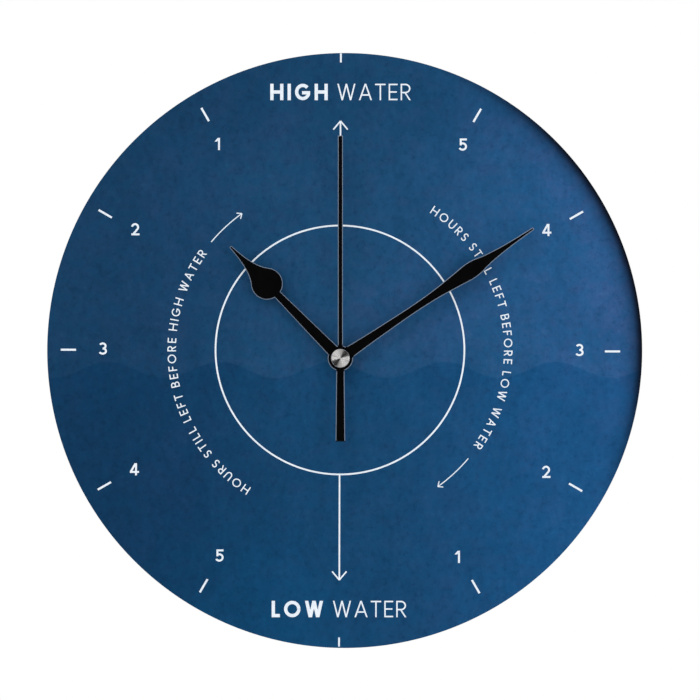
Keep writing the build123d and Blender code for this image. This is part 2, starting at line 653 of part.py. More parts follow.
def stator_plate():
    """Lamination: two arms to the core and a ring round the magnet with two notches."""
    left = COIL_X - CORE_WIDTH / 2
    ring_left = ROTOR_AT[0] - STATOR_RING_DIAMETER / 2
    web_right = ring_left + STATOR_WEB_WIDTH / 2
    web_left = web_right - STATOR_WEB_WIDTH
    ring_low = ROTOR_AT[1] - STATOR_RING_DIAMETER / 2
    ring_high = ROTOR_AT[1] + STATOR_RING_DIAMETER / 2
    arm_low = CORE_BOTTOM + STATOR_ARM_WIDTH
    arm_high = CORE_TOP - STATOR_ARM_WIDTH
    outline = Polygon(
        (left, CORE_BOTTOM), (web_left, CORE_BOTTOM), (web_right, arm_low), (ROTOR_AT[0], ring_low),
        (ROTOR_AT[0], ring_high), (web_right, arm_high), (web_left, CORE_TOP), (left, CORE_TOP),
        (left, arm_high), (web_left, arm_high), (web_left, arm_low), (left, arm_low),
        align=None,
    )
    hole = MAGNET_DIAMETER / 2 + MAGNET_AIR_GAP
    outline += Pos(*ROTOR_AT) * Circle(STATOR_RING_DIAMETER / 2)
    outline -= Pos(*ROTOR_AT) * Circle(hole)
    for turn in (ROTOR_ANGLE, ROTOR_ANGLE + 180):
        outline -= Pos(*polar(ROTOR_AT, hole, turn)) * Circle(STATOR_NOTCH_DIAMETER / 2)
    return layer(outline, STATOR_BACK, STATOR_FRONT)


def contact_plate(left):
    """Flat of a contact against an end wall of the bay."""
    half = CONTACT_WIDTH / 2
    bottom = BAY_MIDDLE - half
    return slab(left, left + CONTACT_THICKNESS, bottom, bottom + CONTACT_WIDTH, CELL_Z - half, CELL_Z + half)


def positive_contact():
    """Plate with a round bump, and a strip up to the circuit board."""
    left = HALF_INNER - CONTACT_THICKNESS
    bump_end = CELL_NUB_X + CONTACT_CLEARANCE
    bump = Rot(0, 90, 0) * Cylinder(CONTACT_BUMP_DIAMETER / 2, left - bump_end)
    contact = contact_plate(left) + Pos((left + bump_end) / 2, BAY_MIDDLE, CELL_Z) * bump
    tab_bottom = BOARD_BOTTOM + BOARD_MARGIN
    tab_top = tab_bottom + CONTACT_STRIP_WIDTH
    contact += slab(left, HALF_INNER, BAY_MIDDLE, tab_top, STRIP_BACK, BOARD_BACK)
    tab_left = HALF_INNER - CONTACT_TAB_LENGTH
    return contact + slab(tab_left, HALF_INNER, tab_bottom, tab_top, BOARD_BACK - CONTACT_THICKNESS, BOARD_BACK)


def negative_leaf():
    """Bent spring leaf that presses on the base of the cell."""
    wall = -HALF_INNER
    apex = CELL_BASE_X - CONTACT_CLEARANCE
    half = CONTACT_WIDTH / 2
    outline = Polygon(
        (wall, CELL_Z + half), (wall + CONTACT_THICKNESS, CELL_Z + half), (apex, CELL_Z),
        (wall + CONTACT_THICKNESS, CELL_Z - half), (wall, CELL_Z - half), (apex - CONTACT_THICKNESS, CELL_Z),
        align=None,
    )
    return extrude(Plane.XZ.offset(-BAY_MIDDLE) * outline, amount=half / 2, both=True)


def negative_contact():
    """Plate with the leaf, and a strip along the divider to the circuit board."""
    wall = -HALF_INNER
    strip_top = CHAMBER_BOTTOM + CONTACT_THICKNESS
    tab_left = BOARD_LEFT + BOARD_MARGIN
    tab_right = tab_left + CONTACT_STRIP_WIDTH
    tab_top = BOARD_BOTTOM + CONTACT_TAB_LENGTH / 2
    contact = contact_plate(wall) + negative_leaf()
    contact += slab(wall, wall + CONTACT_THICKNESS, BAY_MIDDLE, strip_top, STRIP_BACK, BOARD_BACK)
    contact += slab(wall, tab_right, CHAMBER_BOTTOM, strip_top, STRIP_BACK, BOARD_BACK)
    return contact + slab(
        tab_left, tab_right, CHAMBER_BOTTOM, tab_top, BOARD_BACK - CONTACT_THICKNESS, BOARD_BACK
    )


def battery_cell():
    """Round cell lying across the bay, its nub to the right."""
    body = Cylinder(CELL_DIAMETER / 2, CELL_LENGTH)
    body = fillet(body.edges().filter_by(GeomType.CIRCLE), CELL_EDGE_ROUND)
    cell = body + Pos(0, 0, (CELL_LENGTH + CELL_NUB_LENGTH) / 2) * Cylinder(CELL_NUB_DIAMETER / 2, CELL_NUB_LENGTH)
    return Pos((CELL_BASE_X + CELL_HEAD_X) / 2, BAY_MIDDLE, CELL_Z) * Rot(0, 90, 0) * cell


def hour_wheel():
    """Hour wheel with the tube that carries the hour hand."""
    wheel = toothed(HOUR_TEETH, HOUR_MODULE, HOUR_WHEEL_BACK, HOUR_WHEEL_FRONT)
    tube = disc(HOUR_TUBE_DIAMETER / 2, HOUR_WHEEL_BACK, HOUR_TUBE_FRONT)
    bore = MINUTE_TUBE_DIAMETER / 2 + RUNNING_CLEARANCE
    return wheel + tube - disc(bore, 0, HOUR_TUBE_FRONT + OVERRUN)


def works_wheel():
    """Wheel driven by the cannon pinion, with the pinion that drives the hour wheel."""
    wheel = toothed(WORKS_TEETH, MOTION_MODULE, WORKS_BACK, WORKS_FRONT, WORKS_AT)
    phase = mating_phase(HOUR_TEETH, 0, WORKS_ANGLE, WORKS_PINION_TEETH)
    front = HOUR_WHEEL_FRONT + PINION_OVERLAP
    wheel += toothed(WORKS_PINION_TEETH, HOUR_MODULE, WORKS_FRONT, front, WORKS_AT, phase)
    return wheel - disc(POST_DIAMETER / 2 + RUNNING_CLEARANCE, 0, CASE_FRONT, WORKS_AT)


def minute_tube():
    """Tube of the minute hand with the cannon pinion and the collar behind the centre wheel."""
    tube = disc(MINUTE_TUBE_DIAMETER / 2, COLLAR_BACK, MINUTE_TUBE_FRONT)
    phase = mating_phase(WORKS_TEETH, 0, WORKS_ANGLE + 180, CANNON_TEETH)
    tube += toothed(CANNON_TEETH, MOTION_MODULE, CANNON_BACK, CANNON_FRONT, AXIS, phase)
    tube += disc(COLLAR_DIAMETER / 2, COLLAR_BACK, CENTRE_BACK)
    return tube - disc(SHAFT_DIAMETER / 2 + RUNNING_CLEARANCE, 0, MINUTE_TUBE_FRONT + OVERRUN)


def clutch_spring():
    """Spring ring that presses the centre wheel on the collar."""
    bore = MINUTE_TUBE_DIAMETER / 2 + RUNNING_CLEARANCE
    return ring(SPRING_DIAMETER / 2, bore, CENTRE_FRONT, CANNON_BACK)


def centre_wheel():
    """Wheel that turns once an hour, held on the tube by friction."""
    wheel = toothed(CENTRE_TEETH, THIRD_MODULE, CENTRE_BACK, CENTRE_FRONT)
    return wheel - disc(MINUTE_TUBE_DIAMETER / 2 + RUNNING_CLEARANCE, 0, CASE_FRONT)


def third_wheel():
    """Third wheel and pinion on their arbor."""
    wheel = toothed(THIRD_TEETH, SECOND_MODULE, THIRD_BACK, THIRD_FRONT, THIRD_AT)
    phase = mating_phase(CENTRE_TEETH, 0, THIRD_ANGLE, PINION_TEETH)
    wheel += toothed(PINION_TEETH, THIRD_MODULE, THIRD_FRONT, CENTRE_FRONT + PINION_OVERLAP, THIRD_AT, phase)
    return wheel + disc(SHAFT_DIAMETER / 2, SHAFT_BACK, CHAMBER_FRONT + PIVOT_DEPTH / 2, THIRD_AT)


def second_wheel():
    """Wheel and pinion pressed on the second shaft."""
    wheel = toothed(SECOND_TEETH, INTERMEDIATE_MODULE, SECOND_BACK, SECOND_FRONT)
    phase = mating_phase(THIRD_TEETH, 0, THIRD_ANGLE + 180, PINION_TEETH)
    wheel += toothed(PINION_TEETH, SECOND_MODULE, SECOND_FRONT, THIRD_FRONT + PINION_OVERLAP, AXIS, phase)
    return wheel - disc(SHAFT_DIAMETER / 2, 0, CASE_FRONT)


def second_shaft():
    """Steel pin from the bridge to the second hand."""
    return disc(SHAFT_DIAMETER / 2, SHAFT_BACK, SECOND_HAND_FRONT)


def intermediate_wheel():
    """Wheel and pinion between the rotor and the second wheel."""
    wheel = toothed(INTERMEDIATE_TEETH, ROTOR_MODULE, INTERMEDIATE_BACK, INTERMEDIATE_FRONT, INTERMEDIATE_AT)
    phase = mating_phase(SECOND_TEETH, 0, INTERMEDIATE_ANGLE, PINION_TEETH)
    front = SECOND_FRONT + PINION_OVERLAP
    wheel += toothed(PINION_TEETH, INTERMEDIATE_MODULE, INTERMEDIATE_FRONT, front, INTERMEDIATE_AT, phase)
    return wheel - disc(STUD_DIAMETER / 2 + RUNNING_CLEARANCE, 0, CASE_FRONT, INTERMEDIATE_AT)


def rotor_pinion():
    """Arbor of the rotor with its pinion and the hub inside the magnet."""
    phase = mating_phase(INTERMEDIATE_TEETH, 0, ROTOR_ANGLE, PINION_TEETH)
    back = INTERMEDIATE_BACK - PINION_OVERLAP
    front = INTERMEDIATE_FRONT + PINION_OVERLAP
    rotor = toothed(PINION_TEETH, ROTOR_MODULE, back, front, ROTOR_AT, phase)
    rotor += disc(SHAFT_DIAMETER / 2, SHAFT_BACK, CHAMBER_FRONT + PIVOT_DEPTH / 2, ROTOR_AT)
    return rotor + disc(MAGNET_BORE / 2, front, MAGNET_BACK + MAGNET_LENGTH, ROTOR_AT)


def rotor_magnet():
    """Ring magnet on the rotor's hub."""
    return ring(MAGNET_DIAMETER / 2, MAGNET_BORE / 2, MAGNET_BACK, MAGNET_BACK + MAGNET_LENGTH, ROTOR_AT)


def setting_arbor():
    """Arbor with the pinion that turns the works wheel."""
    phase = mating_phase(WORKS_TEETH, 0, SETTER_ANGLE, SETTER_TEETH)
    back = WORKS_BACK - PINION_OVERLAP
    front = WORKS_FRONT + PINION_OVERLAP
    arbor = toothed(SETTER_TEETH, MOTION_MODULE, back, front, SETTER_AT, phase)
    shaft_front = CHAMBER_FRONT + PIVOT_DEPTH / 2
    return arbor + disc(SETTER_SHAFT_DIAMETER / 2, KNOB_SETBACK + KNOB_SKIN, shaft_front, SETTER_AT)


def setting_knob():
    """Ribbed knob with a finger bar, pressed on the arbor, lying in the well of the cover."""
    points = []
    for half_rib in range(2 * KNOB_RIBS):
        radius = KNOB_DIAMETER / 2 - KNOB_RIB_DEPTH * (half_rib % 2)
        points.append(polar(AXIS, radius, 180 * half_rib / KNOB_RIBS))
    knob = layer(Polygon(*points, align=None), KNOB_SETBACK, KNOB_SETBACK + KNOB_THICKNESS)
    dish = Circle(KNOB_DISH_DIAMETER / 2) - Rectangle(KNOB_BAR_WIDTH, KNOB_DISH_DIAMETER)
    knob -= layer(dish, KNOB_SETBACK - OVERRUN, KNOB_SETBACK + KNOB_DISH_DEPTH)
    socket = disc(SETTER_SHAFT_DIAMETER / 2, KNOB_SETBACK + KNOB_SKIN, CASE_FRONT)
    return Pos(SETTER_AT[0], SETTER_AT[1], 0) * (knob - socket)


def blade_face(points):
    """Face between an outline of (distance, half width) points and its mirror image."""
    upper = Spline(*points)
    lower = Spline(*[(distance, -half) for distance, half in reversed(points)])
    return make_face([upper, Line(upper @ 1, lower @ 0), lower, Line(lower @ 1, upper @ 0)])


def spear_points(start, tip, half, shares):
    """Points of a hollow-sided spear from its widest place to its tip."""
    points = [(start + along * (tip - start), across * half) for along, across in shares]
    return points + [(tip, HAND_TIP_WIDTH / 2)]


def hand(face, hub, angle, bore, back):
    """Hand cut from sheet: its face with a hub and a bore, turned to its direction."""
    whole = face + Circle(hub / 2) - Circle(bore)
    return layer(Rot(0, 0, angle) * whole, back, back + HAND_THICKNESS)


def hour_hand():
    """Tapered stem, round lobe and hollow-sided spear."""
    half = HOUR_SPEAR_WIDTH / 2
    lobe = HOUR_LOBE_DIAMETER / 2
    start = HOUR_LOBE_DISTANCE + math.sqrt(lobe ** 2 - half ** 2)
    stem = Polygon(
        (0, HOUR_STEM_ROOT_WIDTH / 2), (0, -HOUR_STEM_ROOT_WIDTH / 2),
        (HOUR_LOBE_DISTANCE, -HOUR_STEM_END_WIDTH / 2), (HOUR_LOBE_DISTANCE, HOUR_STEM_END_WIDTH / 2),
        align=None,
    )
    spear = blade_face([(start, half)] + spear_points(start, HOUR_HAND_LENGTH, half, HOUR_SPEAR_SHARES))
    face = stem + Pos(HOUR_LOBE_DISTANCE, 0) * Circle(lobe) + spear
    return hand(face, HOUR_HUB_DIAMETER, HOUR_HAND_ANGLE, HOUR_TUBE_DIAMETER / 2, HOUR_HAND_BACK)


def minute_hand():
    """Leaf that narrows, swells to a belly and runs out to a fine point."""
    half = MINUTE_BELLY_WIDTH / 2
    points = [(0, MINUTE_ROOT_WIDTH / 2)]
    points += [(along * MINUTE_BELLY_DISTANCE, across * half) for along, across in MINUTE_STEM_SHARES]
    points.append((MINUTE_BELLY_DISTANCE, half))
    points += spear_points(MINUTE_BELLY_DISTANCE, MINUTE_HAND_LENGTH, half, MINUTE_SPEAR_SHARES)
    face = blade_face(points)
    return hand(face, MINUTE_HUB_DIAMETER, MINUTE_HAND_ANGLE, MINUTE_TUBE_DIAMETER / 2, MINUTE_HAND_BACK)


def second_hand():
    """Straight blade and widening tail on a small hub under the cap."""
    blade = Polygon(
        (0, -SECOND_BLADE_WIDTH / 2), (SECOND_HAND_LENGTH, -SECOND_BLADE_WIDTH / 2),
        (SECOND_HAND_LENGTH, SECOND_BLADE_WIDTH / 2), (0, SECOND_BLADE_WIDTH / 2),
        align=None,
    )
    tail = Polygon(
        (0, SECOND_TAIL_ROOT_WIDTH / 2), (-SECOND_TAIL_LENGTH, SECOND_TAIL_END_WIDTH / 2),
        (-SECOND_TAIL_LENGTH, -SECOND_TAIL_END_WIDTH / 2), (0, -SECOND_TAIL_ROOT_WIDTH / 2),
        align=None,
    )
    hub = Circle(CAP_DIAMETER / 2 - CAP_EDGE_ROUND)
    face = blade + tail + hub - Circle(SHAFT_DIAMETER / 2)
    return layer(Rot(0, 0, SECOND_HAND_ANGLE) * face, SECOND_HAND_BACK, SECOND_HAND_FRONT)


def second_hand_cap():
    """Turned cap over the end of the shaft."""
    cap = disc(CAP_DIAMETER / 2, SECOND_HAND_FRONT, SECOND_HAND_FRONT + CAP_HEIGHT)
    return fillet(cap.faces().sort_by(Axis.Z)[-1].edges(), CAP_EDGE_ROUND)


def collet(bore, hand_back):
    """Brass ring under a hand, on its tube."""
    return ring(bore + COLLET_WALL, bore, hand_back - COLLET_HEIGHT, hand_back)


def hour_hand_collet():
    """Ring under the hour hand."""
    return collet(HOUR_TUBE_DIAMETER / 2, HOUR_HAND_BACK)


def minute_hand_collet():
    """Ring under the minute hand."""
    return collet(MINUTE_TUBE_DIAMETER / 2, MINUTE_HAND_BACK)


def second_hand_collet():
    """Ring under the second hand."""
    return collet(SHAFT_DIAMETER / 2, SECOND_HAND_BACK)


PIECES = (
    dial_plate, dial_print, movement_case, back_cover, hanger_loop, threaded_bush, rubber_gasket,
    flat_washer, hex_nut, train_bridge, circuit_board, crystal_can, chip_cover, coil_bobbin,
    coil_winding, coil_core, stator_plate, positive_contact, negative_contact, battery_cell,
    hour_wheel, works_wheel, minute_tube, clutch_spring, centre_wheel, third_wheel, second_wheel,
    second_shaft, intermediate_wheel, rotor_pinion, rotor_magnet, setting_arbor, setting_knob,
    hour_hand, minute_hand, second_hand, second_hand_cap, hour_hand_collet, minute_hand_collet,
    second_hand_collet,
)

os.makedirs("parts", exist_ok=True)
for piece in PIECES:
    upright = Rot(90, 0, 0) * piece()
    export_step(upright, f"parts/{piece.__name__}.step")
print("cell and knob:", [round(value, 3) for value in (*SETTER_AT, BAY_MIDDLE, CELL_Z)])
print("works, third:", [round(value, 3) for value in (*WORKS_AT, *THIRD_AT)])
print("intermediate, rotor:", [round(value, 3) for value in (*INTERMEDIATE_AT, *ROTOR_AT)])
print("hanger hole:", round(HANGER_HOLE_Y, 3), "layer gap:", round(LAYER_GAP, 3))
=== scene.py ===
import math

import bpy
import numpy as np
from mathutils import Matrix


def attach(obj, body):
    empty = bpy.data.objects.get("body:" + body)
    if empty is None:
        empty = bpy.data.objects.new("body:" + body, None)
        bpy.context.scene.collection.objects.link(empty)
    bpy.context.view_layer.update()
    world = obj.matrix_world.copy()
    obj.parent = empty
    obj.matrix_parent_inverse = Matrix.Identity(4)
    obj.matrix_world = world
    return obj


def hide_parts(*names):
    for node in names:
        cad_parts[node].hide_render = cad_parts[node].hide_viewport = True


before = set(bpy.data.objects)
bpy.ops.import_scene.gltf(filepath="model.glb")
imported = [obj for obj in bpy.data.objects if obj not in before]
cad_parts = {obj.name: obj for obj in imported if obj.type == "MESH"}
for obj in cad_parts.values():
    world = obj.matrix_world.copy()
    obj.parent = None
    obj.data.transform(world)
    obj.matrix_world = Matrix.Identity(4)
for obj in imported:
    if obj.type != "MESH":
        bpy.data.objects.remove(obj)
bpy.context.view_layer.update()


# The board: a round of brown fibreboard 5 mm thick, cut out with a router and sanded at the edge.
# It carries the printed sheet, and the nut on the bush clamps it to the movement.
BOARD_RADIUS = 125.0
BOARD_BACK = 16.9
BOARD_FRONT = 21.9
BOARD_MIDDLE = (1.8, 3.25)
BOARD_BORE = 3.8
BACK_EASE = 0.5
FRONT_EASE = 0.3


def upright(x, y, depth):
    """Face-on drawing to the row frame: x stays, depth off the wall runs along -y, y points up, mm become m."""
    x, y, depth = np.broadcast_arrays(x, y, depth)
    return np.stack([x, -depth, y], axis=-1) / 1000


def bend(radius, depth, size, start, end, steps=6):
    """Rounded corner of a profile: an arc of that size about (radius, depth), from start to end in degrees."""
    turn = np.radians(np.linspace(start, end, steps))
    return np.stack([radius + size * np.cos(turn), depth + size * np.sin(turn)], axis=1)


def turned(profile, middle=(0, 0), steps=360):
    """Closed profile of (radius, depth) carried round a circle; middle is one place or one for each point."""
    turn = np.linspace(0, 2 * np.pi, steps, endpoint=False)[:, None]
    radius, depth = np.asarray(profile, float).T
    across, up = np.broadcast_to(np.asarray(middle, float), (len(radius), 2)).T
    return upright(across + radius * np.cos(turn), up + radius * np.sin(turn), depth)


def skin(name, grids, turns=False, crease=28):
    """Closed mesh of point grids: quads between four neighbours, joined across each grid's columns, and along its
    rows where turns is set; otherwise a face shuts both ends. The sign of its volume turns each skin outwards, and
    each face keeps the number of its column as band."""
    points, faces, bands, start = [], [], [], 0
    for grid in grids:
        rows, columns = grid.shape[:2]
        index = np.arange(rows * columns).reshape(rows, columns)
        index = np.hstack([index, index[:, :1]])
        if turns:
            index = np.vstack([index, index[:1]])
        quads = np.stack([index[:-1, :-1], index[1:, :-1], index[1:, 1:], index[:-1, 1:]], axis=-1).reshape(-1, 4)
        flat = grid.reshape(-1, 3)
        corner = (flat - flat.mean(0))[quads]
        fans = np.cross(corner[:, 1], corner[:, 2]) + np.cross(corner[:, 2], corner[:, 3])
        whole = quads.tolist()
        across = np.tile(np.arange(columns), len(quads) // columns).tolist()
        if not turns:
            whole += [index[0, :-1].tolist(), index[-1, :-1][::-1].tolist()]
            across += [-1, -1]
        outward = 1 if (corner[:, 0] * fans).sum() > 0 else -1
        faces += [[start + place for place in face[::outward]] for face in whole]
        bands += across
        points.append(flat)
        start += len(flat)
    mesh = bpy.data.meshes.new(name)
    mesh.from_pydata(np.vstack(points), [], faces)
    mesh.attributes.new("band", "FLOAT", "FACE").data.foreach_set("value", np.array(bands, np.float32))
    mesh.shade_smooth()
    mesh.set_sharp_from_angle(angle=math.radians(crease))
    piece = bpy.data.objects.new(name, mesh)
    bpy.context.scene.collection.objects.link(piece)
    return piece


class Value:
    """One shader value. Arithmetic on it adds Math nodes, and outlet() gives another socket of its node."""

    def __init__(self, finish, socket):
        self.finish = finish
        self.socket = socket

    def outlet(self, name):
        return Value(self.finish, self.socket.node.outputs[name])

    def __add__(self, other):
        return self.finish.math("ADD", self, other)

    def __sub__(self, other):
        return self.finish.math("SUBTRACT", self, other)

    def __rsub__(self, other):
        return self.finish.math("SUBTRACT", other, self)

    def __mul__(self, other):
        return self.finish.math("MULTIPLY", self, other)

    def __truediv__(self, other):
        return self.finish.math("DIVIDE", self, other)

    def __rtruediv__(self, other):
        return self.finish.math("DIVIDE", other, self)

    def __pow__(self, other):
        return self.finish.math("POWER", self, other)

    __radd__ = __add__
    __rmul__ = __mul__


class Finish:
    """A node tree with one shader to feed. node() adds any node, and the rest are short names for common ones."""

    def __init__(self, owner, shader, constants):
        owner.use_nodes = True
        self.owner = owner
        self.tree = owner.node_tree
        self.shader = self.tree.nodes[shader]
        for socket, value in constants.items():
            self.shader.inputs[socket].default_value = value

    def node(self, kind, settings, sockets, outlet=0):
        made = self.tree.nodes.new("ShaderNode" + kind)
        for setting, value in settings.items():
            setattr(made, setting, value)
        for socket, value in sockets.items():
            if isinstance(value, Value):
                self.tree.links.new(value.socket, made.inputs[socket])
            else:
                made.inputs[socket].default_value = value
        return Value(self, made.outputs[outlet])

    def math(self, operation, *terms):
        return self.node("Math", {"operation": operation}, dict(enumerate(terms)))

    def spot(self):
        """Object coordinates as a vector."""
        return self.node("TexCoord", {}, {}, "Object")

    def place(self):
        """Object coordinates as a vector, and as face-on x, y and depth in mm."""
        spot = self.spot()
        axes = self.node("SeparateXYZ", {}, {0: spot})
        return spot, axes * 1000, axes.outlet("Z") * 1000, axes.outlet("Y") * -1000

    def length(self, *sides):
        return sum(side * side for side in sides) ** 0.5

    def step(self, value, low, high):
        """Smooth rise from 0 at low to 1 at high."""
        return self.node("MapRange", {"interpolation_type": "SMOOTHSTEP"}, {0: value, 1: low, 2: high, 3: 0.0, 4: 1.0})

    def grain(self, spot, size, stretch=(1, 1, 1), detail=3.0, rough=0.55):
        """Noise with lumps of that size in mm, drawn out along the axes by stretch."""
        scaled = self.node("Mapping", {}, {"Vector": spot, "Scale": [1 / share for share in stretch]})
        return self.node("TexNoise", {}, {"Vector": scaled, "Scale": 1000 / size, "Detail": detail, "Roughness": rough})

    def mix(self, share, first, second):
        return self.node("Mix", {"data_type": "RGBA"}, {0: share, 6: first, 7: second}, 2)

    def tint(self, share, base, colour):
        """Base multiplied by colour, as far as share goes."""
        return self.node("Mix", {"data_type": "RGBA", "blend_type": "MULTIPLY"}, {0: share, 6: base, 7: colour}, 2)

    def feed(self, **values):
        for socket, value in values.items():
            self.tree.links.new(value.socket, self.shader.inputs[socket.replace("_", " ")])

    def bump(self, height, depth):
        """Relief of that depth in mm under a height from 0 to 1."""
        self.feed(Normal=self.node("Bump", {}, {"Height": height, "Strength": 1.0, "Distance": depth / 1000}))


def finish(name, **constants):
    """New material on a Principled shader, with the values that are the same all over set on its sockets."""
    sockets = {socket.replace("_", " "): value for socket, value in constants.items()}
    return Finish(bpy.data.materials.new(name), "Principled BSDF", sockets)


def paint(red, green, blue):
    """Screen colour 0 to 255 as linear light."""
    shares = np.array([red, green, blue]) / 255
    light = np.where(shares <= 0.04045, shares / 12.92, ((shares + 0.055) / 1.055) ** 2.4)
    return (*light.tolist(), 1.0)


board_finish = finish("fibreboard", Specular_IOR_Level=0.2)
spot, x, y, _ = board_finish.place()
fibres = board_finish.grain(spot, 0.3, (3.0, 1, 1), 3.0, 0.6)
crossed = board_finish.grain(spot, 0.35, (1, 1, 2.6), 3.0, 0.6)
clouds = board_finish.grain(spot, 32, rough=0.6)
reach = board_finish.length(x - BOARD_MIDDLE[0], y - BOARD_MIDDLE[1])
rim = board_finish.step(reach, BOARD_RADIUS - 0.8, BOARD_RADIUS - 0.1)
wood = board_finish.mix(board_finish.step(fibres, 0.3, 0.7), paint(156, 120, 82), paint(182, 146, 104))
wood = board_finish.tint(board_finish.step(crossed, 0.56, 0.7) * 0.6, wood, paint(214, 202, 188))
wood = board_finish.tint(board_finish.step(crossed, 0.42, 0.3) * 0.6, wood, (1.12, 1.1, 1.08, 1.0))
wood = board_finish.tint(board_finish.step(clouds, 0.38, 0.66) * 0.5, wood, paint(228, 222, 214))
wood = board_finish.tint(rim * 0.85, wood, paint(176, 150, 126))
board_finish.feed(Base_Color=wood, Roughness=0.62 + 0.25 * fibres)
board_finish.bump(fibres * 0.6 + crossed * 0.4, 0.015)

board_edge = np.vstack([
    bend(BOARD_RADIUS - BACK_EASE, BOARD_BACK + BACK_EASE, BACK_EASE, -90, 0),
    bend(BOARD_RADIUS - FRONT_EASE, BOARD_FRONT - FRONT_EASE, FRONT_EASE, 0, 90),
])
board_bore = [(BOARD_BORE, BOARD_FRONT), (BOARD_BORE, BOARD_BACK)]
board_profile = np.vstack([board_edge, board_bore])
board_middles = [BOARD_MIDDLE] * len(board_edge) + [(0, 0)] * 2
board = skin("board", [turned(board_profile, board_middles)], turns=True)
board.data.materials.append(board_finish.owner)
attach(board, "clock")
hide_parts("dial_plate")


# The printed sheet: heavy satin paper glued over the whole face, sea blue and brighter to the right,
# a shade deeper below a soft water line. Its cut edge shows the white core of the paper.
# Painted light: a glow in the middle, shade at the lower left, and a shadow with a violet highlight along the right rim
# are painted into its colour.
SHEET_FRONT = 22.15
SHEET_EASE = 0.03
WATER_LEVEL = -4.9
WAVE_CREST = -97.5
WAVE_LENGTH = 47
WAVE_HEIGHT = 3.4
# Angle in radians from the right of the middle of the painted rim shadow:
RIM_SHADOW_SIDE = 0.36

sheet_finish = finish("printed_sheet", Specular_IOR_Level=0.05)
spot, x, y, depth = sheet_finish.place()
left_half = sheet_finish.step(x, -112, 14)
right_half = sheet_finish.step(x, 2, 112)
blue = sheet_finish.mix(left_half, paint(17, 61, 96), paint(25, 73, 112))
blue = sheet_finish.mix(right_half, blue, paint(33, 90, 139))
violet = sheet_finish.grain(spot, 34, (1, 1, 1.5), 2.0, 0.5)
blue = sheet_finish.tint(sheet_finish.step(violet, 0.5, 0.72) * 0.8, blue, (1.45, 1.02, 1.04, 1.0))
wave = sheet_finish.math("COSINE", (x - WAVE_CREST) * (2 * math.pi / WAVE_LENGTH)) * WAVE_HEIGHT
water = sheet_finish.step(y - WATER_LEVEL - wave, 0.5, -0.5)
under = sheet_finish.step(y, 6, -34)
blue = sheet_finish.tint(water * (1 - 0.22 * under), blue, (0.47, 0.84, 0.9, 1.0))
# Painted light: a pale glow painted round the middle of the face.
painted_glow_gap = sheet_finish.length(x, y)
blue = sheet_finish.tint(sheet_finish.step(painted_glow_gap, 62, 14), blue, (1.18, 1.13, 1.12, 1.0))
# Painted shade: the lower left of the face is painted darker.
painted_shade_gap = sheet_finish.length(x + 74, y + 66)
blue = sheet_finish.tint(sheet_finish.step(painted_shade_gap, 80, 10) * 0.6, blue, (0.86, 0.88, 0.9, 1.0))
blue = sheet_finish.tint(sheet_finish.step(y, 74, 112), blue, (0.68, 0.85, 0.86, 1.0))
foot_gap = sheet_finish.length(x + 40, y + 118)
blue = sheet_finish.tint(sheet_finish.step(foot_gap, 75, 15), blue, (0.66, 1.14, 1.14, 1.0))
paper = sheet_finish.grain(spot, 2.3, detail=4.0, rough=0.75)
streaks = sheet_finish.grain(spot, 2.4, (1, 1, 1.8), 3.0, 0.6)
mottle = sheet_finish.grain(spot, 9, (1, 1, 1.6), 4.0, 0.6)
blush = sheet_finish.grain(spot, 5, (1.3, 1, 1), 3.0, 0.65)
blue = sheet_finish.tint(sheet_finish.step(blush, 0.4, 0.65), blue, (1.5, 1.0, 1.0, 1.0))
blue = sheet_finish.tint(sheet_finish.step(paper, 0.5, 0.3), blue, (0.7, 0.79, 0.82, 1.0))
blue = sheet_finish.tint(sheet_finish.step(paper, 0.54, 0.72), blue, (1.3, 1.15, 1.11, 1.0))
blue = sheet_finish.tint(sheet_finish.step(streaks, 0.6, 0.35) * 0.8, blue, (0.88, 0.9, 0.92, 1.0))
blue = sheet_finish.tint(sheet_finish.step(mottle, 0.62, 0.36), blue, (0.86, 0.9, 0.91, 1.0))
# Painted shadow: a dark crescent along the rim, from about half past twelve to four o'clock, darkest at the very edge,
# with a violet painted highlight band just inside it.
reach = sheet_finish.length(x - BOARD_MIDDLE[0], y - BOARD_MIDDLE[1])
side = sheet_finish.math("ARCTAN2", y - BOARD_MIDDLE[1], x - BOARD_MIDDLE[0])
painted_shadow_side = sheet_finish.step(sheet_finish.math("ABSOLUTE", side - RIM_SHADOW_SIDE), 0.98, 0.3)
blue = sheet_finish.tint(sheet_finish.step(reach, 102, 118) * painted_shadow_side, blue, (1.45, 1.0, 1.02, 1.0))
painted_rim_shadow = sheet_finish.step(reach, 113, 126.5) ** 1.9 * painted_shadow_side
blue = sheet_finish.tint(painted_rim_shadow, blue, (0.14, 0.08, 0.1, 1.0))
blue = sheet_finish.tint(sheet_finish.step(reach, 121.6, 125.2) * painted_shadow_side, blue, (0.16, 0.15, 0.17, 1.0))
core = sheet_finish.step(depth, SHEET_FRONT - 0.05, SHEET_FRONT - 0.08)
sheet_finish.feed(
    Base_Color=sheet_finish.mix(core, blue, paint(206, 212, 216)),
    Roughness=0.5 + 0.2 * paper + 0.2 * core,
)
sheet_finish.bump(paper * 0.7 + streaks * 0.3, 0.012)

sheet_edge = np.vstack([
    [(BOARD_RADIUS, BOARD_FRONT)],
    bend(BOARD_RADIUS - SHEET_EASE, SHEET_FRONT - SHEET_EASE, SHEET_EASE, 0, 90, 4),
])
sheet_profile = np.vstack([sheet_edge, [(BOARD_BORE, SHEET_FRONT), (BOARD_BORE, BOARD_FRONT)]])
sheet_middles = [BOARD_MIDDLE] * len(sheet_edge) + [(0, 0)] * 2
sheet = skin("printed_sheet", [turned(sheet_profile, sheet_middles)], turns=True)
sheet.data.materials.append(sheet_finish.owner)
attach(sheet, "clock")
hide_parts("dial_print")


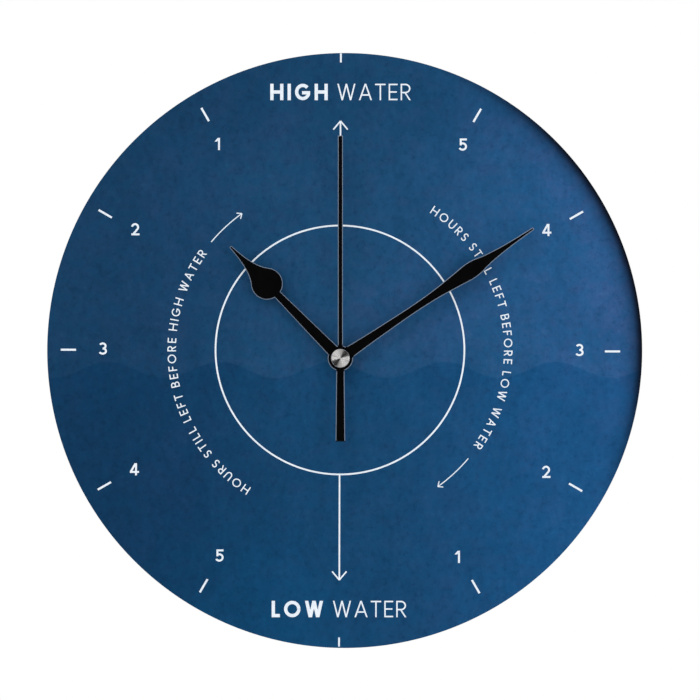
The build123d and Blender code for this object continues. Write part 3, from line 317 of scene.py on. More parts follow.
# The white ink: screen-printed ring, hour strokes, arrows, numbers and plain tide words on the sheet.
# Each stroke is a very thin raised ribbon, drawn from straight bars and bows with the width of its pen.
INK_MIDDLE = (-0.19, 3.47)
INK_ROOT = SHEET_FRONT - 0.02
INK_TOP = SHEET_FRONT + 0.03
LAYER_STEP = 0.0006
LAYERS = 17
ROW_HEIGHT = 6.9
ROW_SPACE = 3.9
BOLD_PEN = 1.38
LIGHT_PEN = 0.6
NUMBER_HEIGHT = 5.1
NUMBER_PEN = 0.8
LEGEND_HEIGHT = 3.6
LEGEND_PEN = 0.47
LEGEND_BASE = 68.9
HOUR_STROKE = np.array([111.1, 117.5])
HOUR_STROKE_SHIFT = (0.2, -0.25)
HALF_DAY_STROKE = np.array([120.8, 124.6])
STROKE_TURN = 0.18
CURVE_RADIUS = 70.6
CURVE_PEN = 0.42
RING_INNER = 51.93
RING_OUTER = 52.63


def bar(x0, y0, x1, y1):
    """Straight centre line of a stroke, in shares of the letter's box."""
    return np.array([(x0, y0), (x1, y1)], float)


def bow(cx, cy, rx, ry, start, end):
    """Part of an ellipse about (cx, cy), from start to end in degrees."""
    turn = np.radians(np.linspace(start, end, 28))
    return np.stack([cx + rx * np.cos(turn), cy + ry * np.sin(turn)], axis=1)


# Each sign: its width as a share of its height, and the centre lines of its strokes in its box
SIGNS = {
    "A": (0.8, [bar(0, 0, 0.5, 1), bar(1, 0, 0.5, 1), bar(0.2, 0.3, 0.8, 0.3)]),
    "B": (0.62, [bar(0, 0, 0, 1), bar(0, 1, 0.45, 1), bar(0, 0.52, 0.5, 0.52), bar(0, 0, 0.5, 0),
                 bow(0.45, 0.76, 0.45, 0.24, -90, 90), bow(0.5, 0.26, 0.5, 0.26, -90, 90)]),
    "E": (0.54, [bar(0, 0, 0, 1), bar(0, 1, 1, 1), bar(0, 0.5, 0.9, 0.5), bar(0, 0, 1, 0)]),
    "F": (0.52, [bar(0, 0, 0, 1), bar(0, 1, 1, 1), bar(0, 0.5, 0.9, 0.5)]),
    "G": (0.94, [bow(0.5, 0.5, 0.5, 0.5, 42, 345), bar(0.58, 0.44, 0.97, 0.44)]),
    "H": (0.8, [bar(0, 0, 0, 1), bar(1, 0, 1, 1), bar(0, 0.5, 1, 0.5)]),
    "I": (0.0, [bar(0, 0, 0, 1)]),
    "L": (0.5, [bar(0, 0, 0, 1), bar(0, 0, 1, 0)]),
    "O": (1.0, [bow(0.5, 0.5, 0.5, 0.5, 0, 360)]),
    "R": (0.62, [bar(0, 0, 0, 1), bar(0, 1, 0.45, 1), bar(0, 0.46, 0.45, 0.46), bow(0.45, 0.73, 0.5, 0.27, -90, 90),
                 bar(0.42, 0.46, 0.98, 0)]),
    "S": (0.58, [bow(0.5, 0.75, 0.48, 0.25, 28, 270), bow(0.5, 0.25, 0.5, 0.25, 90, -152)]),
    "T": (0.64, [bar(0, 1, 1, 1), bar(0.5, 0, 0.5, 1)]),
    "U": (0.74, [bar(0, 0.4, 0, 1), bar(1, 0.4, 1, 1), bow(0.5, 0.4, 0.5, 0.4, 180, 360)]),
    "W": (1.14, [bar(0.02, 1, 0.26, 0), bar(0.5, 1, 0.26, 0), bar(0.5, 1, 0.74, 0), bar(0.98, 1, 0.74, 0)]),
    "1": (0.5, [bar(0.85, 0, 0.85, 1), bar(0.85, 1, 0.1, 0.74)]),
    "2": (0.7, [bow(0.48, 0.7, 0.46, 0.3, 170, -38), bar(0.86, 0.54, 0.06, 0), bar(0.06, 0, 1, 0)]),
    "3": (0.7, [bow(0.46, 0.75, 0.44, 0.25, 150, -90), bow(0.46, 0.25, 0.5, 0.25, 90, -155)]),
    "4": (0.75, [bar(0.66, 1, 0.0, 0.26), bar(0, 0.24, 1, 0.24), bar(0.72, 0, 0.72, 1)]),
    "5": (0.7, [bar(0.16, 1, 0.94, 1), bar(0.16, 0.52, 0.16, 1), bow(0.44, 0.31, 0.52, 0.31, 128, -152)]),
}


def stroke(path, pen, slanted=False):
    """Both edges of a stroke: its centre line moved half a pen to each side along the normal. A slanted bar is moved
    level instead, so that its ends are cut level."""
    along = np.gradient(path, axis=0)
    along /= np.linalg.norm(along, axis=1, keepdims=True)
    if slanted:
        side = np.stack([pen / 2 / np.abs(along[:, 1]), np.zeros(len(path))], axis=1)
    else:
        side = np.stack([-along[:, 1], along[:, 0]], axis=1) * pen / 2
    return path - side, path + side


def words(text, height, pen, gap):
    """Strokes of a line of signs from x = 0 on, with the pen kept inside each sign's box, and the line's length."""
    edges, start = [], 0.0
    for sign in text:
        if sign == " ":
            start += 0.5 * height
            continue
        width, lines = SIGNS[sign]
        width = max(width * height, pen)
        for line in lines:
            level = line * (width - pen, height - pen) + (start + pen / 2, pen / 2)
            step = line[-1] - line[0]
            slanted = len(line) == 2 and step[0] != 0 and step[1] != 0
            if slanted:
                level[:, 1] += np.where(line[:, 1] == 0, -pen / 2, np.where(line[:, 1] == 1, pen / 2, 0))
            elif len(line) == 2:
                level += np.sign(step) * np.array([[-pen / 2], [pen / 2]])
            edges.append(stroke(level, pen, slanted))
        start += width + gap
    return edges, start - gap


def straight_line(edges, length, height, middle):
    """A line of signs set level about a place."""
    move = np.asarray(middle) - (length / 2, height / 2)
    return [(left + move, right + move) for left, right in edges]


def clock_place(radius, degrees):
    """Place at a radius about the ink's middle, the angle clockwise from the top."""
    turn = np.radians(degrees)
    return np.stack([INK_MIDDLE[0] + radius * np.sin(turn), INK_MIDDLE[1] + radius * np.cos(turn)], axis=-1)


def round_line(edges, base, start):
    """A line of signs wrapped clockwise round the ring: along becomes angle, up becomes radius."""
    return [
        tuple(clock_place(base + edge[:, 1], start + np.degrees(edge[:, 0] / base)) for edge in pair) for pair in edges
    ]


def arrow_head(tip, way, size, pen):
    """Open head of an arrow that points that way in degrees: two bars back from the tip, 40 degrees to each side."""
    back = np.radians(way + 180 + np.array([-40, 40]))
    return [stroke(np.array([tip, tip + size * np.array([np.cos(one), np.sin(one)])]), pen) for one in back]


def heading(step):
    """Direction of a step in degrees."""
    return math.degrees(math.atan2(step[1], step[0]))


def raised(edges, root, top):
    """Grids of four points across each stroke, from root to top. Strokes differ by a hair in height, so that no two
    tops that cross lie in one plane."""
    grids = []
    for number, (left, right) in enumerate(edges):
        level = top + math.copysign(LAYER_STEP, top - root) * (number % LAYERS)
        grids.append(np.stack([upright(*left.T, root), upright(*left.T, level),
                               upright(*right.T, level), upright(*right.T, root)], axis=1))
    return grids


ink_edges = []
for bold_word, row in (("HIGH", (0.06, 111.87)), ("LOW", (-0.57, -105.36))):
    bold, bold_length = words(bold_word, ROW_HEIGHT, BOLD_PEN, 1.75)
    light, light_length = words("WATER", ROW_HEIGHT, LIGHT_PEN, 1.3)
    start = -(bold_length + ROW_SPACE + light_length) / 2
    ink_edges += straight_line(bold, 0, ROW_HEIGHT, np.add(row, (start, 0)))
    ink_edges += straight_line(light, 0, ROW_HEIGHT, np.add(row, (start + bold_length + ROW_SPACE, 0)))
for sign, across, up in (
    ("1", -51.62, 90.02), ("2", -86.2, 54.2), ("3", -99.77, 4.08), ("4", -86.54, -46.64), ("5", -50.74, -82.88),
    ("5", 51.49, 89.77), ("4", 86.74, 53.89), ("3", 100.5, 3.47), ("2", 86.45, -47.73), ("1", 49.2, -83.45),
):
    edges, length = words(sign, NUMBER_HEIGHT, NUMBER_PEN, 0)
    ink_edges += straight_line(edges, length, NUMBER_HEIGHT, (across, up))
for text, start, end in (
    ("HOURS STILL LEFT BEFORE HIGH WATER", 212.9, 305.9), ("HOURS STILL LEFT BEFORE LOW WATER", 33.2, 125.6),
):
    length = words(text, LEGEND_HEIGHT, LEGEND_PEN, 0)[1]
    gap = (np.radians(end - start) * LEGEND_BASE - length) / (len(text.replace(" ", "")) - 1)
    ink_edges += round_line(words(text, LEGEND_HEIGHT, LEGEND_PEN, gap)[0], LEGEND_BASE, start)
for degrees in (30, 60, 90, 120, 150, 210, 240, 270, 300, 330):
    ink_edges.append(stroke(clock_place(HOUR_STROKE, degrees + STROKE_TURN) + HOUR_STROKE_SHIFT, 0.85))
for degrees in (0, 180):
    ink_edges.append(stroke(clock_place(HALF_DAY_STROKE, degrees + STROKE_TURN), 0.74))
for start, tip, way in (((-0.06, 55.99), (0.05, 99.68), 90), ((-0.36, -49.06), (-0.46, -93.17), -90)):
    ink_edges.append(stroke(np.array([start, tip]), 0.66))
    ink_edges += arrow_head(np.array(tip), way, 4.7, 0.6)
for start, end in ((310, 324.3), (130.2, 144.4)):
    curve = clock_place(CURVE_RADIUS, np.linspace(start, end, 24))
    ink_edges.append(stroke(curve, CURVE_PEN))
    ink_edges += arrow_head(curve[-1], heading(curve[-1] - curve[-2]), 2.3, CURVE_PEN)

ink_finish = finish("white_ink", Specular_IOR_Level=0.2)
spot = ink_finish.spot()
cover = ink_finish.grain(spot, 0.35, rough=0.6)
patches = ink_finish.grain(spot, 5, detail=2.0)
white = ink_finish.mix(ink_finish.step(cover, 0.3, 0.55), paint(216, 229, 243), paint(240, 246, 252))
white = ink_finish.tint(ink_finish.step(patches, 0.6, 0.35) * 0.5, white, paint(236, 241, 246))
ink_finish.feed(Base_Color=white, Roughness=0.45 + 0.2 * cover)
ink_finish.bump(cover, 0.01)
ink = skin("white_ink", raised(ink_edges, INK_ROOT, INK_TOP))
ink.data.materials.append(ink_finish.owner)
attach(ink, "clock")

ring_radius = np.array([RING_INNER, RING_INNER, RING_OUTER, RING_OUTER])
ring_depth = np.array([INK_ROOT, INK_TOP, INK_TOP, INK_ROOT])
ring = skin("ink_ring", [turned(np.stack([ring_radius, ring_depth], axis=1), INK_MIDDLE)], turns=True)
ring.data.materials.append(ink_finish.owner)
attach(ring, "clock")


# The movement's box: black moulded case, clipped-on back cover with a well for the knob, and the hanger loop.
# Spark-eroded moulds leave an even fine grain on the outside.
def dress(made, *names):
    """A finish on CAD nodes."""
    for name in names:
        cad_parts[name].data.materials.clear()
        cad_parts[name].data.materials.append(made.owner)


def moulded(name, dark, pale, grain_mm, relief, rough):
    """Moulded plastic: two close tones in a fine even grain, wide cloudy sheen and shallow relief."""
    made = finish(name, Specular_IOR_Level=0.45)
    spot = made.spot()
    fine = made.grain(spot, grain_mm, detail=2.0, rough=0.5)
    wide = made.grain(spot, 9, detail=2.0)
    tone = made.mix(made.step(fine * 0.6 + wide * 0.4, 0.3, 0.7), dark, pale)
    made.feed(Base_Color=tone, Roughness=rough + 0.16 * wide + 0.1 * fine)
    made.bump(fine, relief)
    return made


case_finish = moulded("case_plastic", paint(21, 21, 23), paint(33, 33, 36), 0.22, 0.012, 0.42)
dress(case_finish, "movement_case", "back_cover")
hanger_finish = moulded("hanger_plastic", paint(24, 24, 26), paint(38, 38, 41), 0.3, 0.01, 0.36)
dress(hanger_finish, "hanger_loop")


# The setting knob: ivory moulded plastic with ribs round its rim, pressed on the end of the setting arbor.
# The ribs are tinted a little darker in a band round their grooves.
KNOB_AXIS = (17.276, 14.497)

knob_finish = finish("knob_plastic", Specular_IOR_Level=0.4)
spot, x, y, _ = knob_finish.place()
from_axis = knob_finish.length(x - KNOB_AXIS[0], y - KNOB_AXIS[1])
worn = knob_finish.grain(spot, 1.5)
groove = knob_finish.step(from_axis, 5.95, 5.62) * knob_finish.step(from_axis, 5.3, 5.62)
cream = knob_finish.mix(knob_finish.step(worn, 0.35, 0.65), paint(206, 201, 186), paint(222, 218, 205))
cream = knob_finish.tint(groove * 0.8, cream, paint(168, 158, 140))
knob_finish.feed(Base_Color=cream, Roughness=0.38 + 0.2 * worn)
knob_finish.bump(worn, 0.01)
dress(knob_finish, "setting_knob")


# The cover's marks: pale pad-printed signs for the cell's ends, its plain size, and the way the knob turns.
# They are read from behind, so each line is mirrored; the print is a thin film on the cover.
MARK_ROOT = 0.02
MARK_TOP = -0.03
MARK_LEVEL = -8.4
TURN_RADIUS = 9.5
TURN_PEN = 0.45

SIGNS["V"] = (0.8, [bar(0, 1, 0.5, 0), bar(1, 1, 0.5, 0)])
SIGNS["."] = (0.0, [bar(0, 0, 0, 0.04)])
SIGNS["+"] = (1.0, [bar(0, 0.5, 1, 0.5), bar(0.5, 0, 0.5, 1)])
SIGNS["-"] = (1.0, [bar(0, 0.5, 1, 0.5)])
mark_edges = []
for line, height, pen, across in (("+", 3.2, 0.6, 23.0), ("-", 3.2, 0.6, -23.0), ("AA 1.5 V", 2.6, 0.36, 0.0)):
    edges, length = words(line, height, pen, 0.55)
    edges = straight_line(edges, length, height, (-across, MARK_LEVEL))
    mark_edges += [(left * (-1, 1), right * (-1, 1)) for left, right in edges]
sweep = np.radians(np.linspace(208, 322, 40))
turn_line = KNOB_AXIS + TURN_RADIUS * np.stack([np.cos(sweep), np.sin(sweep)], axis=1)
mark_edges.append(stroke(turn_line, TURN_PEN))
mark_edges += arrow_head(turn_line[0], heading(turn_line[0] - turn_line[1]), 2.2, TURN_PEN)
mark_finish = finish("mark_ink", Specular_IOR_Level=0.3)
spot = mark_finish.spot()
thin = mark_finish.grain(spot, 0.3, rough=0.6)
pale = mark_finish.mix(mark_finish.step(thin, 0.3, 0.6), paint(150, 150, 148), paint(196, 196, 193))
mark_finish.feed(Base_Color=pale, Roughness=0.45 + 0.2 * thin)
mark_finish.bump(thin, 0.01)
marks = skin("cover_marks", raised(mark_edges, MARK_ROOT, MARK_TOP))
marks.data.materials.append(mark_finish.owner)
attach(marks, "clock")


# The fixing: brass bush through the board, rubber gasket behind it, and a washer and hex nut in front.
# The brass is turned on a lathe, so fine rings run round the axis.
def turned_metal(name, dark, pale, rough, pitch=0.11):
    """Turned metal: fine uneven rings about the hands' axis in tone, gloss and relief, with cloudy tarnish."""
    made = finish(name, Metallic=1.0)
    spot, x, y, depth = made.place()
    axis_gap = made.length(x, y)
    wobble = made.grain(spot, 1.2, detail=2.0)
    rings = made.math("SINE", (axis_gap + depth + wobble * 0.12) * (2 * math.pi / pitch)) * 0.5 + 0.5
    tarnish = made.grain(spot, 3.5)
    tone = made.mix(made.step(tarnish * 0.7 + rings * 0.3, 0.25, 0.75), dark, pale)
    made.feed(Base_Color=tone, Roughness=rough + 0.12 * tarnish + 0.08 * rings)
    made.bump(rings, 0.006)
    return made


brass_finish = turned_metal("turned_brass", paint(176, 136, 70), paint(214, 178, 108), 0.2)
dress(brass_finish, "threaded_bush", "flat_washer", "hex_nut", "minute_tube")
dress(brass_finish, "hour_hand_collet", "minute_hand_collet", "second_hand_collet")
rubber_finish = moulded("gasket_rubber", paint(18, 18, 18), paint(31, 31, 30), 0.5, 0.02, 0.7)
dress(rubber_finish, "rubber_gasket")


# The cell: a drawn steel can with a plain film sleeve, graphite with one pale band at the plus end.
# The bare can shows at both ends, where the sleeve is shrunk over the shoulder.
CELL_UP = -19.52
CELL_DEPTH = 7.45

cell_finish = finish("cell_sleeve", Specular_IOR_Level=0.5)
spot, x, y, depth = cell_finish.place()
from_cell = cell_finish.length(y - CELL_UP, depth - CELL_DEPTH)
sleeve = cell_finish.step(x, -24.75, -24.55) * cell_finish.step(x, 25.0, 24.5)
sleeve = cell_finish.step(from_cell, 6.1, 6.3) * sleeve
scuffs = cell_finish.grain(spot, 0.9, (7, 1, 1), 4.0, 0.65)
band = cell_finish.step(x, 12.4, 12.6) * cell_finish.step(x, 22.8, 22.6)
film = cell_finish.mix(band, paint(45, 48, 53), paint(178, 182, 186))
film = cell_finish.tint(cell_finish.step(scuffs, 0.6, 0.35) * 0.4, film, paint(205, 205, 205))
bare = cell_finish.mix(scuffs, paint(168, 168, 166), paint(206, 206, 204))
cell_finish.feed(
    Base_Color=cell_finish.mix(sleeve, bare, film),
    Metallic=1 - sleeve,
    Roughness=0.26 + 0.16 * scuffs,
)
cell_finish.bump(scuffs, 0.008)
dress(cell_finish, "battery_cell")


# The contacts and the clutch: strip of nickel-plated spring steel, cut and folded, with drawing lines along it.
# The seconds shaft and the crystal's can are plain bright steel.
def drawn_metal(name, dark, pale, rough, stretch):
    """Drawn or rolled metal: lines along one axis in tone, gloss and relief."""
    made = finish(name, Metallic=1.0)
    spot = made.spot()
    lines = made.grain(spot, 0.25, stretch, 4.0, 0.6)
    stains = made.grain(spot, 4)
    made.feed(
        Base_Color=made.mix(made.step(lines * 0.5 + stains * 0.5, 0.3, 0.7), dark, pale),
        Roughness=rough + 0.15 * lines + 0.1 * stains,
    )
    made.bump(lines, 0.006)
    return made


strip_finish = drawn_metal("spring_strip", paint(176, 174, 168), paint(212, 210, 204), 0.22, (1, 1, 18))
dress(strip_finish, "positive_contact", "negative_contact", "clutch_spring")
steel_finish = drawn_metal("plain_steel", paint(158, 158, 160), paint(200, 200, 202), 0.2, (1, 14, 1))
dress(steel_finish, "second_shaft", "crystal_can")


# The train: acetal wheels on a moulded bridge, and a printed board of brown laminate with a resin drop.
# All of it sits inside the closed case.
wheel_finish = moulded("gear_plastic", paint(214, 211, 200), paint(231, 229, 220), 0.6, 0.006, 0.34)
dress(wheel_finish, "train_bridge", "hour_wheel", "works_wheel", "centre_wheel", "third_wheel", "second_wheel")
dress(wheel_finish, "intermediate_wheel", "rotor_pinion", "setting_arbor")
laminate_finish = moulded("laminate", paint(112, 84, 44), paint(142, 110, 62), 0.5, 0.01, 0.5)
dress(laminate_finish, "circuit_board")
resin_finish = moulded("resin", paint(12, 12, 13), paint(22, 22, 23), 1.4, 0.03, 0.12)
dress(resin_finish, "chip_cover")


# The motor: nylon bobbin with enamelled copper wire, soft iron core and stator, and a sintered magnet.
# The wire's turns show as fine lines round the coil.
WIRE_PITCH = 0.16

bobbin_finish = moulded("bobbin_plastic", paint(196, 190, 168), paint(214, 209, 190), 0.6, 0.006, 0.4)
dress(bobbin_finish, "coil_bobbin")
wire_finish = finish("copper_wire", Metallic=1.0)
spot, _, y, _ = wire_finish.place()
turns = wire_finish.math("SINE", y * (2 * math.pi / WIRE_PITCH)) * 0.5 + 0.5
patch = wire_finish.grain(spot, 2)
wire_finish.feed(
    Base_Color=wire_finish.mix(turns * 0.5 + patch * 0.5, paint(122, 58, 30), paint(206, 118, 66)),
    Roughness=0.25 + 0.2 * patch,
)
wire_finish.bump(turns, 0.03)
dress(wire_finish, "coil_winding")
iron_finish = drawn_metal("soft_iron", paint(120, 120, 122), paint(160, 160, 162), 0.34, (1, 1, 12))
dress(iron_finish, "coil_core", "stator_plate")
magnet_finish = drawn_metal("magnet", paint(62, 62, 65), paint(88, 88, 92), 0.45, (1, 1, 1))
dress(magnet_finish, "rotor_magnet")


# The hands: stamped from half-millimetre aluminium, black lacquer on the face, front edges cut at a slant.
# The cut shows bare metal, so each hand has a thin pale outline; the upper hubs and the tail's end stay black.
HAND_THICKNESS = 0.5
HAND_SLANT = 0.3
HOUR_HUB = 5.3
MINUTE_HUB = 4.9
SECOND_HUB = 4.0
HOUR_LENGTH = 65.9
LOBE_REACH = 43.9
LOBE_RADIUS = 6.65
SPEAR_HALF = 5.8
STEM_ROOT_HALF = 2.75
STEM_END_HALF = 1.55
MINUTE_LENGTH = 97.7
BELLY_REACH = 66.5
BELLY_HALF = 3.5
SECOND_LENGTH = 93.3
TAIL_LENGTH = 34.9
BLADE_HALF = 1.05
TAIL_ROOT_HALF = 1.65
TAIL_END_HALF = 2.0
TIP_HALF = 0.55


def smooth_line(knots, at):
    """Half width at each distance: cubics through the knots, with the slope at a knot taken from its neighbours."""
    reach, half = np.asarray(knots, float).T
    slope = np.gradient(half, reach)
    cell = np.clip(np.searchsorted(reach, at) - 1, 0, len(reach) - 2)
    span = reach[cell + 1] - reach[cell]
    share = np.clip((at - reach[cell]) / span, 0, 1)
    inside = (1 + 2 * share) * (1 - share) ** 2 * half[cell] + share * (1 - share) ** 2 * span * slope[cell]
    inside += share ** 2 * (3 - 2 * share) * half[cell + 1] - share ** 2 * (1 - share) * span * slope[cell + 1]
    return np.where((at < reach[0]) | (at > reach[-1]), 0, inside)


def disc_half(at, middle, radius):
    """Half width of a disc at each distance."""
    return np.sqrt(np.clip(radius ** 2 - (at - middle) ** 2, 0, None))


def hand_grid(at, half, back, degrees):
    """Flat bar turned to its direction: six points across it at each distance, two on the back, two on the sides and
    two on the front, the front ones moved in by the width of the slanted cut, along the mitre of the two normals."""
    run = np.stack([np.diff(at), np.diff(half)], axis=1)
    run /= np.linalg.norm(run, axis=1, keepdims=True)
    inward = np.stack([run[:, 1], -run[:, 0]], axis=1)
    before, after = np.vstack([inward[:1], inward]), np.vstack([inward, inward[-1:]])
    mitre = (before + after) / (1 + (before * after).sum(1, keepdims=True))
    inner_at = at + HAND_SLANT * mitre[:, 0]
    inner_half = np.clip(half + HAND_SLANT * mitre[:, 1], 0.01, None)
    front = back + HAND_THICKNESS
    columns = (
        (at, -half, back), (at, -half, front - HAND_SLANT), (inner_at, -inner_half, front),
        (inner_at, inner_half, front), (at, half, front - HAND_SLANT), (at, half, back),
    )
    turn = math.radians(degrees)
    return np.stack([
        upright(out * math.cos(turn) - off * math.sin(turn), out * math.sin(turn) + off * math.cos(turn), level)
        for out, off, level in columns
    ], axis=1)


hand_finish = finish("hand_lacquer", Specular_IOR_Level=0.02)
spot, x, y, depth = hand_finish.place()
mark = hand_finish.node("Attribute", {"attribute_name": "band"}, {}, "Fac")
bare_cut = hand_finish.step(hand_finish.math("ABSOLUTE", hand_finish.math("ABSOLUTE", mark - 2) - 1.5), 0.9, 0.6)
lacquered_hub = hand_finish.step(hand_finish.length(x, y), 6.2, 5.2) * hand_finish.step(depth, 27.4, 28.2)
lacquered_tail = hand_finish.step(y, 0.5 - TAIL_LENGTH, 0.2 - TAIL_LENGTH)
bare_cut = bare_cut * (1 - lacquered_hub) * (1 - lacquered_tail)
specks = hand_finish.grain(spot, 0.4)
wide = hand_finish.grain(spot, 7, detail=2.0)
lacquer = hand_finish.mix(hand_finish.step(specks * 0.5 + wide * 0.5, 0.35, 0.65), paint(2, 2, 3), paint(5, 5, 6))
metal = hand_finish.mix(specks, paint(124, 137, 154), paint(148, 160, 176))
hand_finish.feed(
    Base_Color=hand_finish.mix(bare_cut, lacquer, metal),
    Metallic=bare_cut,
    Roughness=0.42 + 0.14 * specks - 0.12 * bare_cut,
)
hand_finish.bump(specks, 0.004)


def fit_hand(name, grid, node, body):
    """Mesh, lacquer and ride of one hand."""
    hand = skin(name, [grid], crease=20)
    hand.data.materials.append(hand_finish.owner)
    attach(hand, body)
    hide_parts(node)


def tipped(hub_radius, length, steps):
    """Distances from the back of the hub out to a tip rounded with half its width, closer together at both ends."""
    hub = -hub_radius * np.cos(np.linspace(0.004, np.pi / 2, 60))
    tip = length - TIP_HALF + TIP_HALF * np.sin(np.linspace(0.1, np.pi / 2 - 0.03, 12))
    return np.concatenate([hub, np.linspace(0.05, length - TIP_HALF, steps), tip])


def rounded_tip(at, half, length):
    """Half width brought down to a round tip."""
    return np.where(at > length - TIP_HALF, disc_half(at, length - TIP_HALF, TIP_HALF), half)


# Hour hand: tapered stem, round lobe and hollow-sided spear
hour_at = tipped(HOUR_HUB, HOUR_LENGTH, 1200)
spear_root = LOBE_REACH + math.sqrt(LOBE_RADIUS ** 2 - SPEAR_HALF ** 2)
spear = [(0, 1), (0.18, 0.62), (0.37, 0.39), (0.60, 0.22), (0.80, 0.145), (1, TIP_HALF / SPEAR_HALF)]
spear = [(spear_root + along * (HOUR_LENGTH - spear_root), across * SPEAR_HALF) for along, across in spear]
stem = STEM_ROOT_HALF - (STEM_ROOT_HALF - STEM_END_HALF) * hour_at / LOBE_REACH
stem = np.where((hour_at >= 0) & (hour_at < LOBE_REACH), stem, 0)
hour_half = np.maximum.reduce([
    disc_half(hour_at, 0, HOUR_HUB), stem, disc_half(hour_at, LOBE_REACH, LOBE_RADIUS), smooth_line(spear, hour_at),
])
hour_half = rounded_tip(hour_at, hour_half, HOUR_LENGTH)
fit_hand("black_hour_hand", hand_grid(hour_at, hour_half, 26.65, 134.6), "hour_hand", "hour")

# Minute hand: a leaf that narrows, swells to a belly and runs out to a fine point
minute_at = tipped(MINUTE_HUB, MINUTE_LENGTH, 1400)
leaf = [(0, 0.857), (0.09, 0.72), (0.19, 0.625), (0.38, 0.52), (0.56, 0.465), (0.75, 0.585), (0.89, 0.835), (1, 1)]
leaf = [(along * BELLY_REACH, across * BELLY_HALF) for along, across in leaf]
point = [(0.09, 0.925), (0.22, 0.67), (0.43, 0.425), (0.69, 0.26), (1, TIP_HALF / BELLY_HALF)]
leaf += [(BELLY_REACH + along * (MINUTE_LENGTH - BELLY_REACH), across * BELLY_HALF) for along, across in point]
minute_half = np.maximum(disc_half(minute_at, 0, MINUTE_HUB), smooth_line(leaf, minute_at))
minute_half = rounded_tip(minute_at, minute_half, MINUTE_LENGTH)
fit_hand("black_minute_hand", hand_grid(minute_at, minute_half, 28.55, 33.9), "minute_hand", "minute")

# Second hand: a straight blade and a widening tail on a small hub under the cap
second_at = np.concatenate([
    [-TAIL_LENGTH, -TAIL_LENGTH], np.linspace(1 - TAIL_LENGTH, SECOND_LENGTH - 1, 900), [SECOND_LENGTH, SECOND_LENGTH],
])
tail = TAIL_ROOT_HALF + (TAIL_END_HALF - TAIL_ROOT_HALF) * second_at / -TAIL_LENGTH
blade = np.where(second_at >= 0, BLADE_HALF, tail)
second_half = np.maximum(blade, disc_half(second_at, 0, SECOND_HUB))
second_half[[0, -1]] = 0.02
fit_hand("black_second_hand", hand_grid(second_at, second_half, 30.45, 90), "second_hand", "second")


# The cap: a small turned aluminium button pressed over the end of the seconds shaft.
# The lathe tool leaves fine rings on its face, which spread the light into bright and dark fans.
CAP_RADIUS = 3.95
CAP_BACK = 30.95
CAP_TOP = 32.15
CAP_EASE = 0.33
TOOL_PITCH = 0.13
TOOL_DRIFT = 0.41

cap_radius = np.linspace(CAP_RADIUS - 0.35, 0.02, 260)
cap_rings = 0.009 * np.sin(cap_radius * (2 * np.pi / TOOL_PITCH))
cap_rings += 0.001 * np.sin(cap_radius * (2 * np.pi / TOOL_DRIFT))
cap_face = np.stack([cap_radius, CAP_TOP - 0.012 + cap_rings], axis=1)
cap_profile = np.vstack([
    [(0.02, CAP_BACK), (CAP_RADIUS - 0.1, CAP_BACK), (CAP_RADIUS, CAP_BACK + 0.1)],
    bend(CAP_RADIUS - CAP_EASE, CAP_TOP - CAP_EASE, CAP_EASE, 0, 84, 8),
    cap_face,
])
cap_finish = finish("turned_aluminium", Metallic=1.0)
spot = cap_finish.spot()
cloud = cap_finish.grain(spot, 0.8)
tone = cap_finish.mix(cloud, paint(152, 151, 150), paint(170, 169, 168))
cap_finish.feed(Base_Color=tone, Roughness=0.09 + 0.05 * cloud)
cap = skin("turned_cap", [turned(cap_profile, steps=180)], turns=True, crease=50)
cap.data.materials.append(cap_finish.owner)
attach(cap, "second")
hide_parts("second_hand_cap")


# The studio: a pale floor well below the clock that fades into a white surround, and soft lamps in front.
# Polished metal sees two dark screens in the white, which give it its shading.
FLOOR_DROP = -0.42
FLOOR_REACH = 2.2
SCREEN_ANGLE = math.radians(43)

floor_mesh = bpy.data.meshes.new("studio_floor")
floor_corners = [(-1, -1), (1, -1), (1, 1), (-1, 1)]
floor_corners = [(across * FLOOR_REACH, along * FLOOR_REACH, FLOOR_DROP) for across, along in floor_corners]
floor_mesh.from_pydata(floor_corners, [], [(0, 1, 2, 3)])
floor = bpy.data.objects.new("studio_floor", floor_mesh)
bpy.context.scene.collection.objects.link(floor)
floor.visible_glossy = False
floor_finish = finish("floor_paper", Specular_IOR_Level=0.1)
spot, x, _, depth = floor_finish.place()
floor_grain = floor_finish.grain(spot, 6, detail=2.0)
floor_finish.feed(
    Base_Color=floor_finish.mix(floor_grain, paint(232, 232, 231), paint(238, 238, 237)),
    Roughness=0.8 + 0.1 * floor_grain,
    Alpha=floor_finish.step(floor_finish.length(x, depth), 2150, 500),
)
floor.data.materials.append(floor_finish.owner)

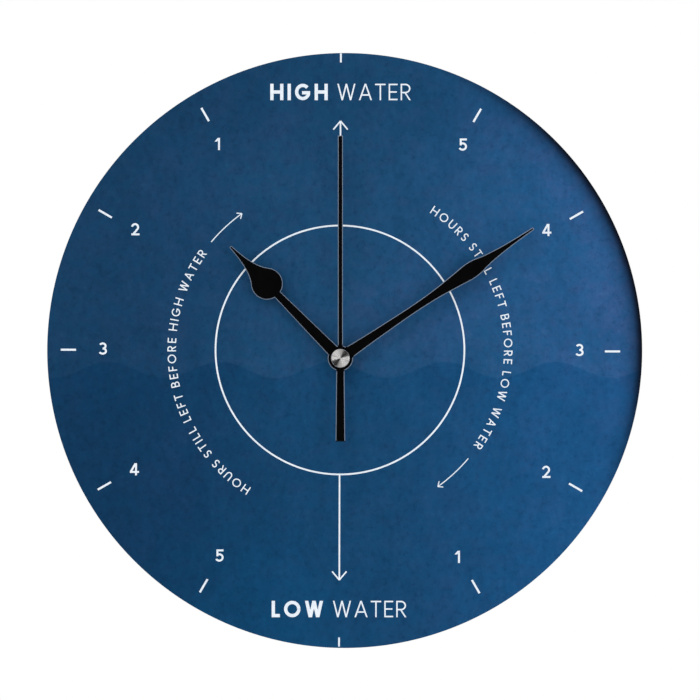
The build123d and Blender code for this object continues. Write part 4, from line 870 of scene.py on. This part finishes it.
surround = bpy.data.worlds.new("studio_surround")
bpy.context.scene.world = surround
air = Finish(surround, "Background", {"Strength": 1.0})
rays = air.node("LightPath", {}, {}, "Is Camera Ray")
seen = air.math("MAXIMUM", rays, rays.outlet("Is Transmission Ray"))
axes = air.node("SeparateXYZ", {}, {0: air.node("TexCoord", {}, {}, "Generated")})
along_x, along_y, along_z = axes, axes.outlet("Y"), axes.outlet("Z")
slant = air.length(along_x, along_z)
twice = 2 * SCREEN_ANGLE
fan = along_x * along_z * (2 * math.sin(twice)) + (along_x * along_x - along_z * along_z) * math.cos(twice)
fan = fan / (slant * slant + 0.0001)
screens = air.step(fan, 0.2, 0.95) * air.step(slant, 0.01, 0.05)
screens = screens * air.step(slant, 0.93, 0.82) * air.step(along_y, 0.1, -0.1)
mirror = air.mix(screens, (1.0, 1.0, 1.0, 1.0), (0.04, 0.04, 0.04, 1.0))
glow = air.mix(rays.outlet("Is Glossy Ray"), (0.8, 0.8, 0.8, 1.0), mirror)
air.feed(Color=air.mix(seen, glow, (1.0, 1.0, 1.0, 1.0)))


def lamp(name, place, size, watts):
    """Square soft lamp that faces the middle of the clock."""
    light = bpy.data.lights.new(name, "AREA")
    light.size = size
    light.energy = watts
    made = bpy.data.objects.new(name, light)
    made.location = place
    aim = np.array([0, -0.02, 0]) - np.array(place)
    flat = math.hypot(aim[0], aim[1])
    made.rotation_euler = (math.atan2(flat, -aim[2]), 0, math.atan2(-aim[0], aim[1]))
    bpy.context.scene.collection.objects.link(made)


lamp("key_lamp", (-1.1, -1.9, 1.3), 1.6, 13)
lamp("fill_lamp", (1.6, -1.8, 0.0), 0.8, 6)
lamp("back_lamp", (0.9, 1.8, 1.2), 1.4, 20)


# The camera: dead on from the front and three metres off, framed as the picture is.
# The lens follows from the distance to the dial's face and the width of the picture there, both in mm.
FACE_DISTANCE = 2977.85
PICTURE_WIDTH = 294.1

lens = bpy.data.cameras.new("camera")
lens.sensor_width = 36
lens.lens = 36 * FACE_DISTANCE / PICTURE_WIDTH
lens.clip_end = 20
camera = bpy.data.objects.new("camera", lens)
camera.location = (0.00403, -3.0, 0.00346)
camera.rotation_euler = (math.pi / 2, 0, 0)
bpy.context.scene.collection.objects.link(camera)
bpy.context.scene.camera = camera
bpy.context.scene.view_settings.view_transform = "Standard"
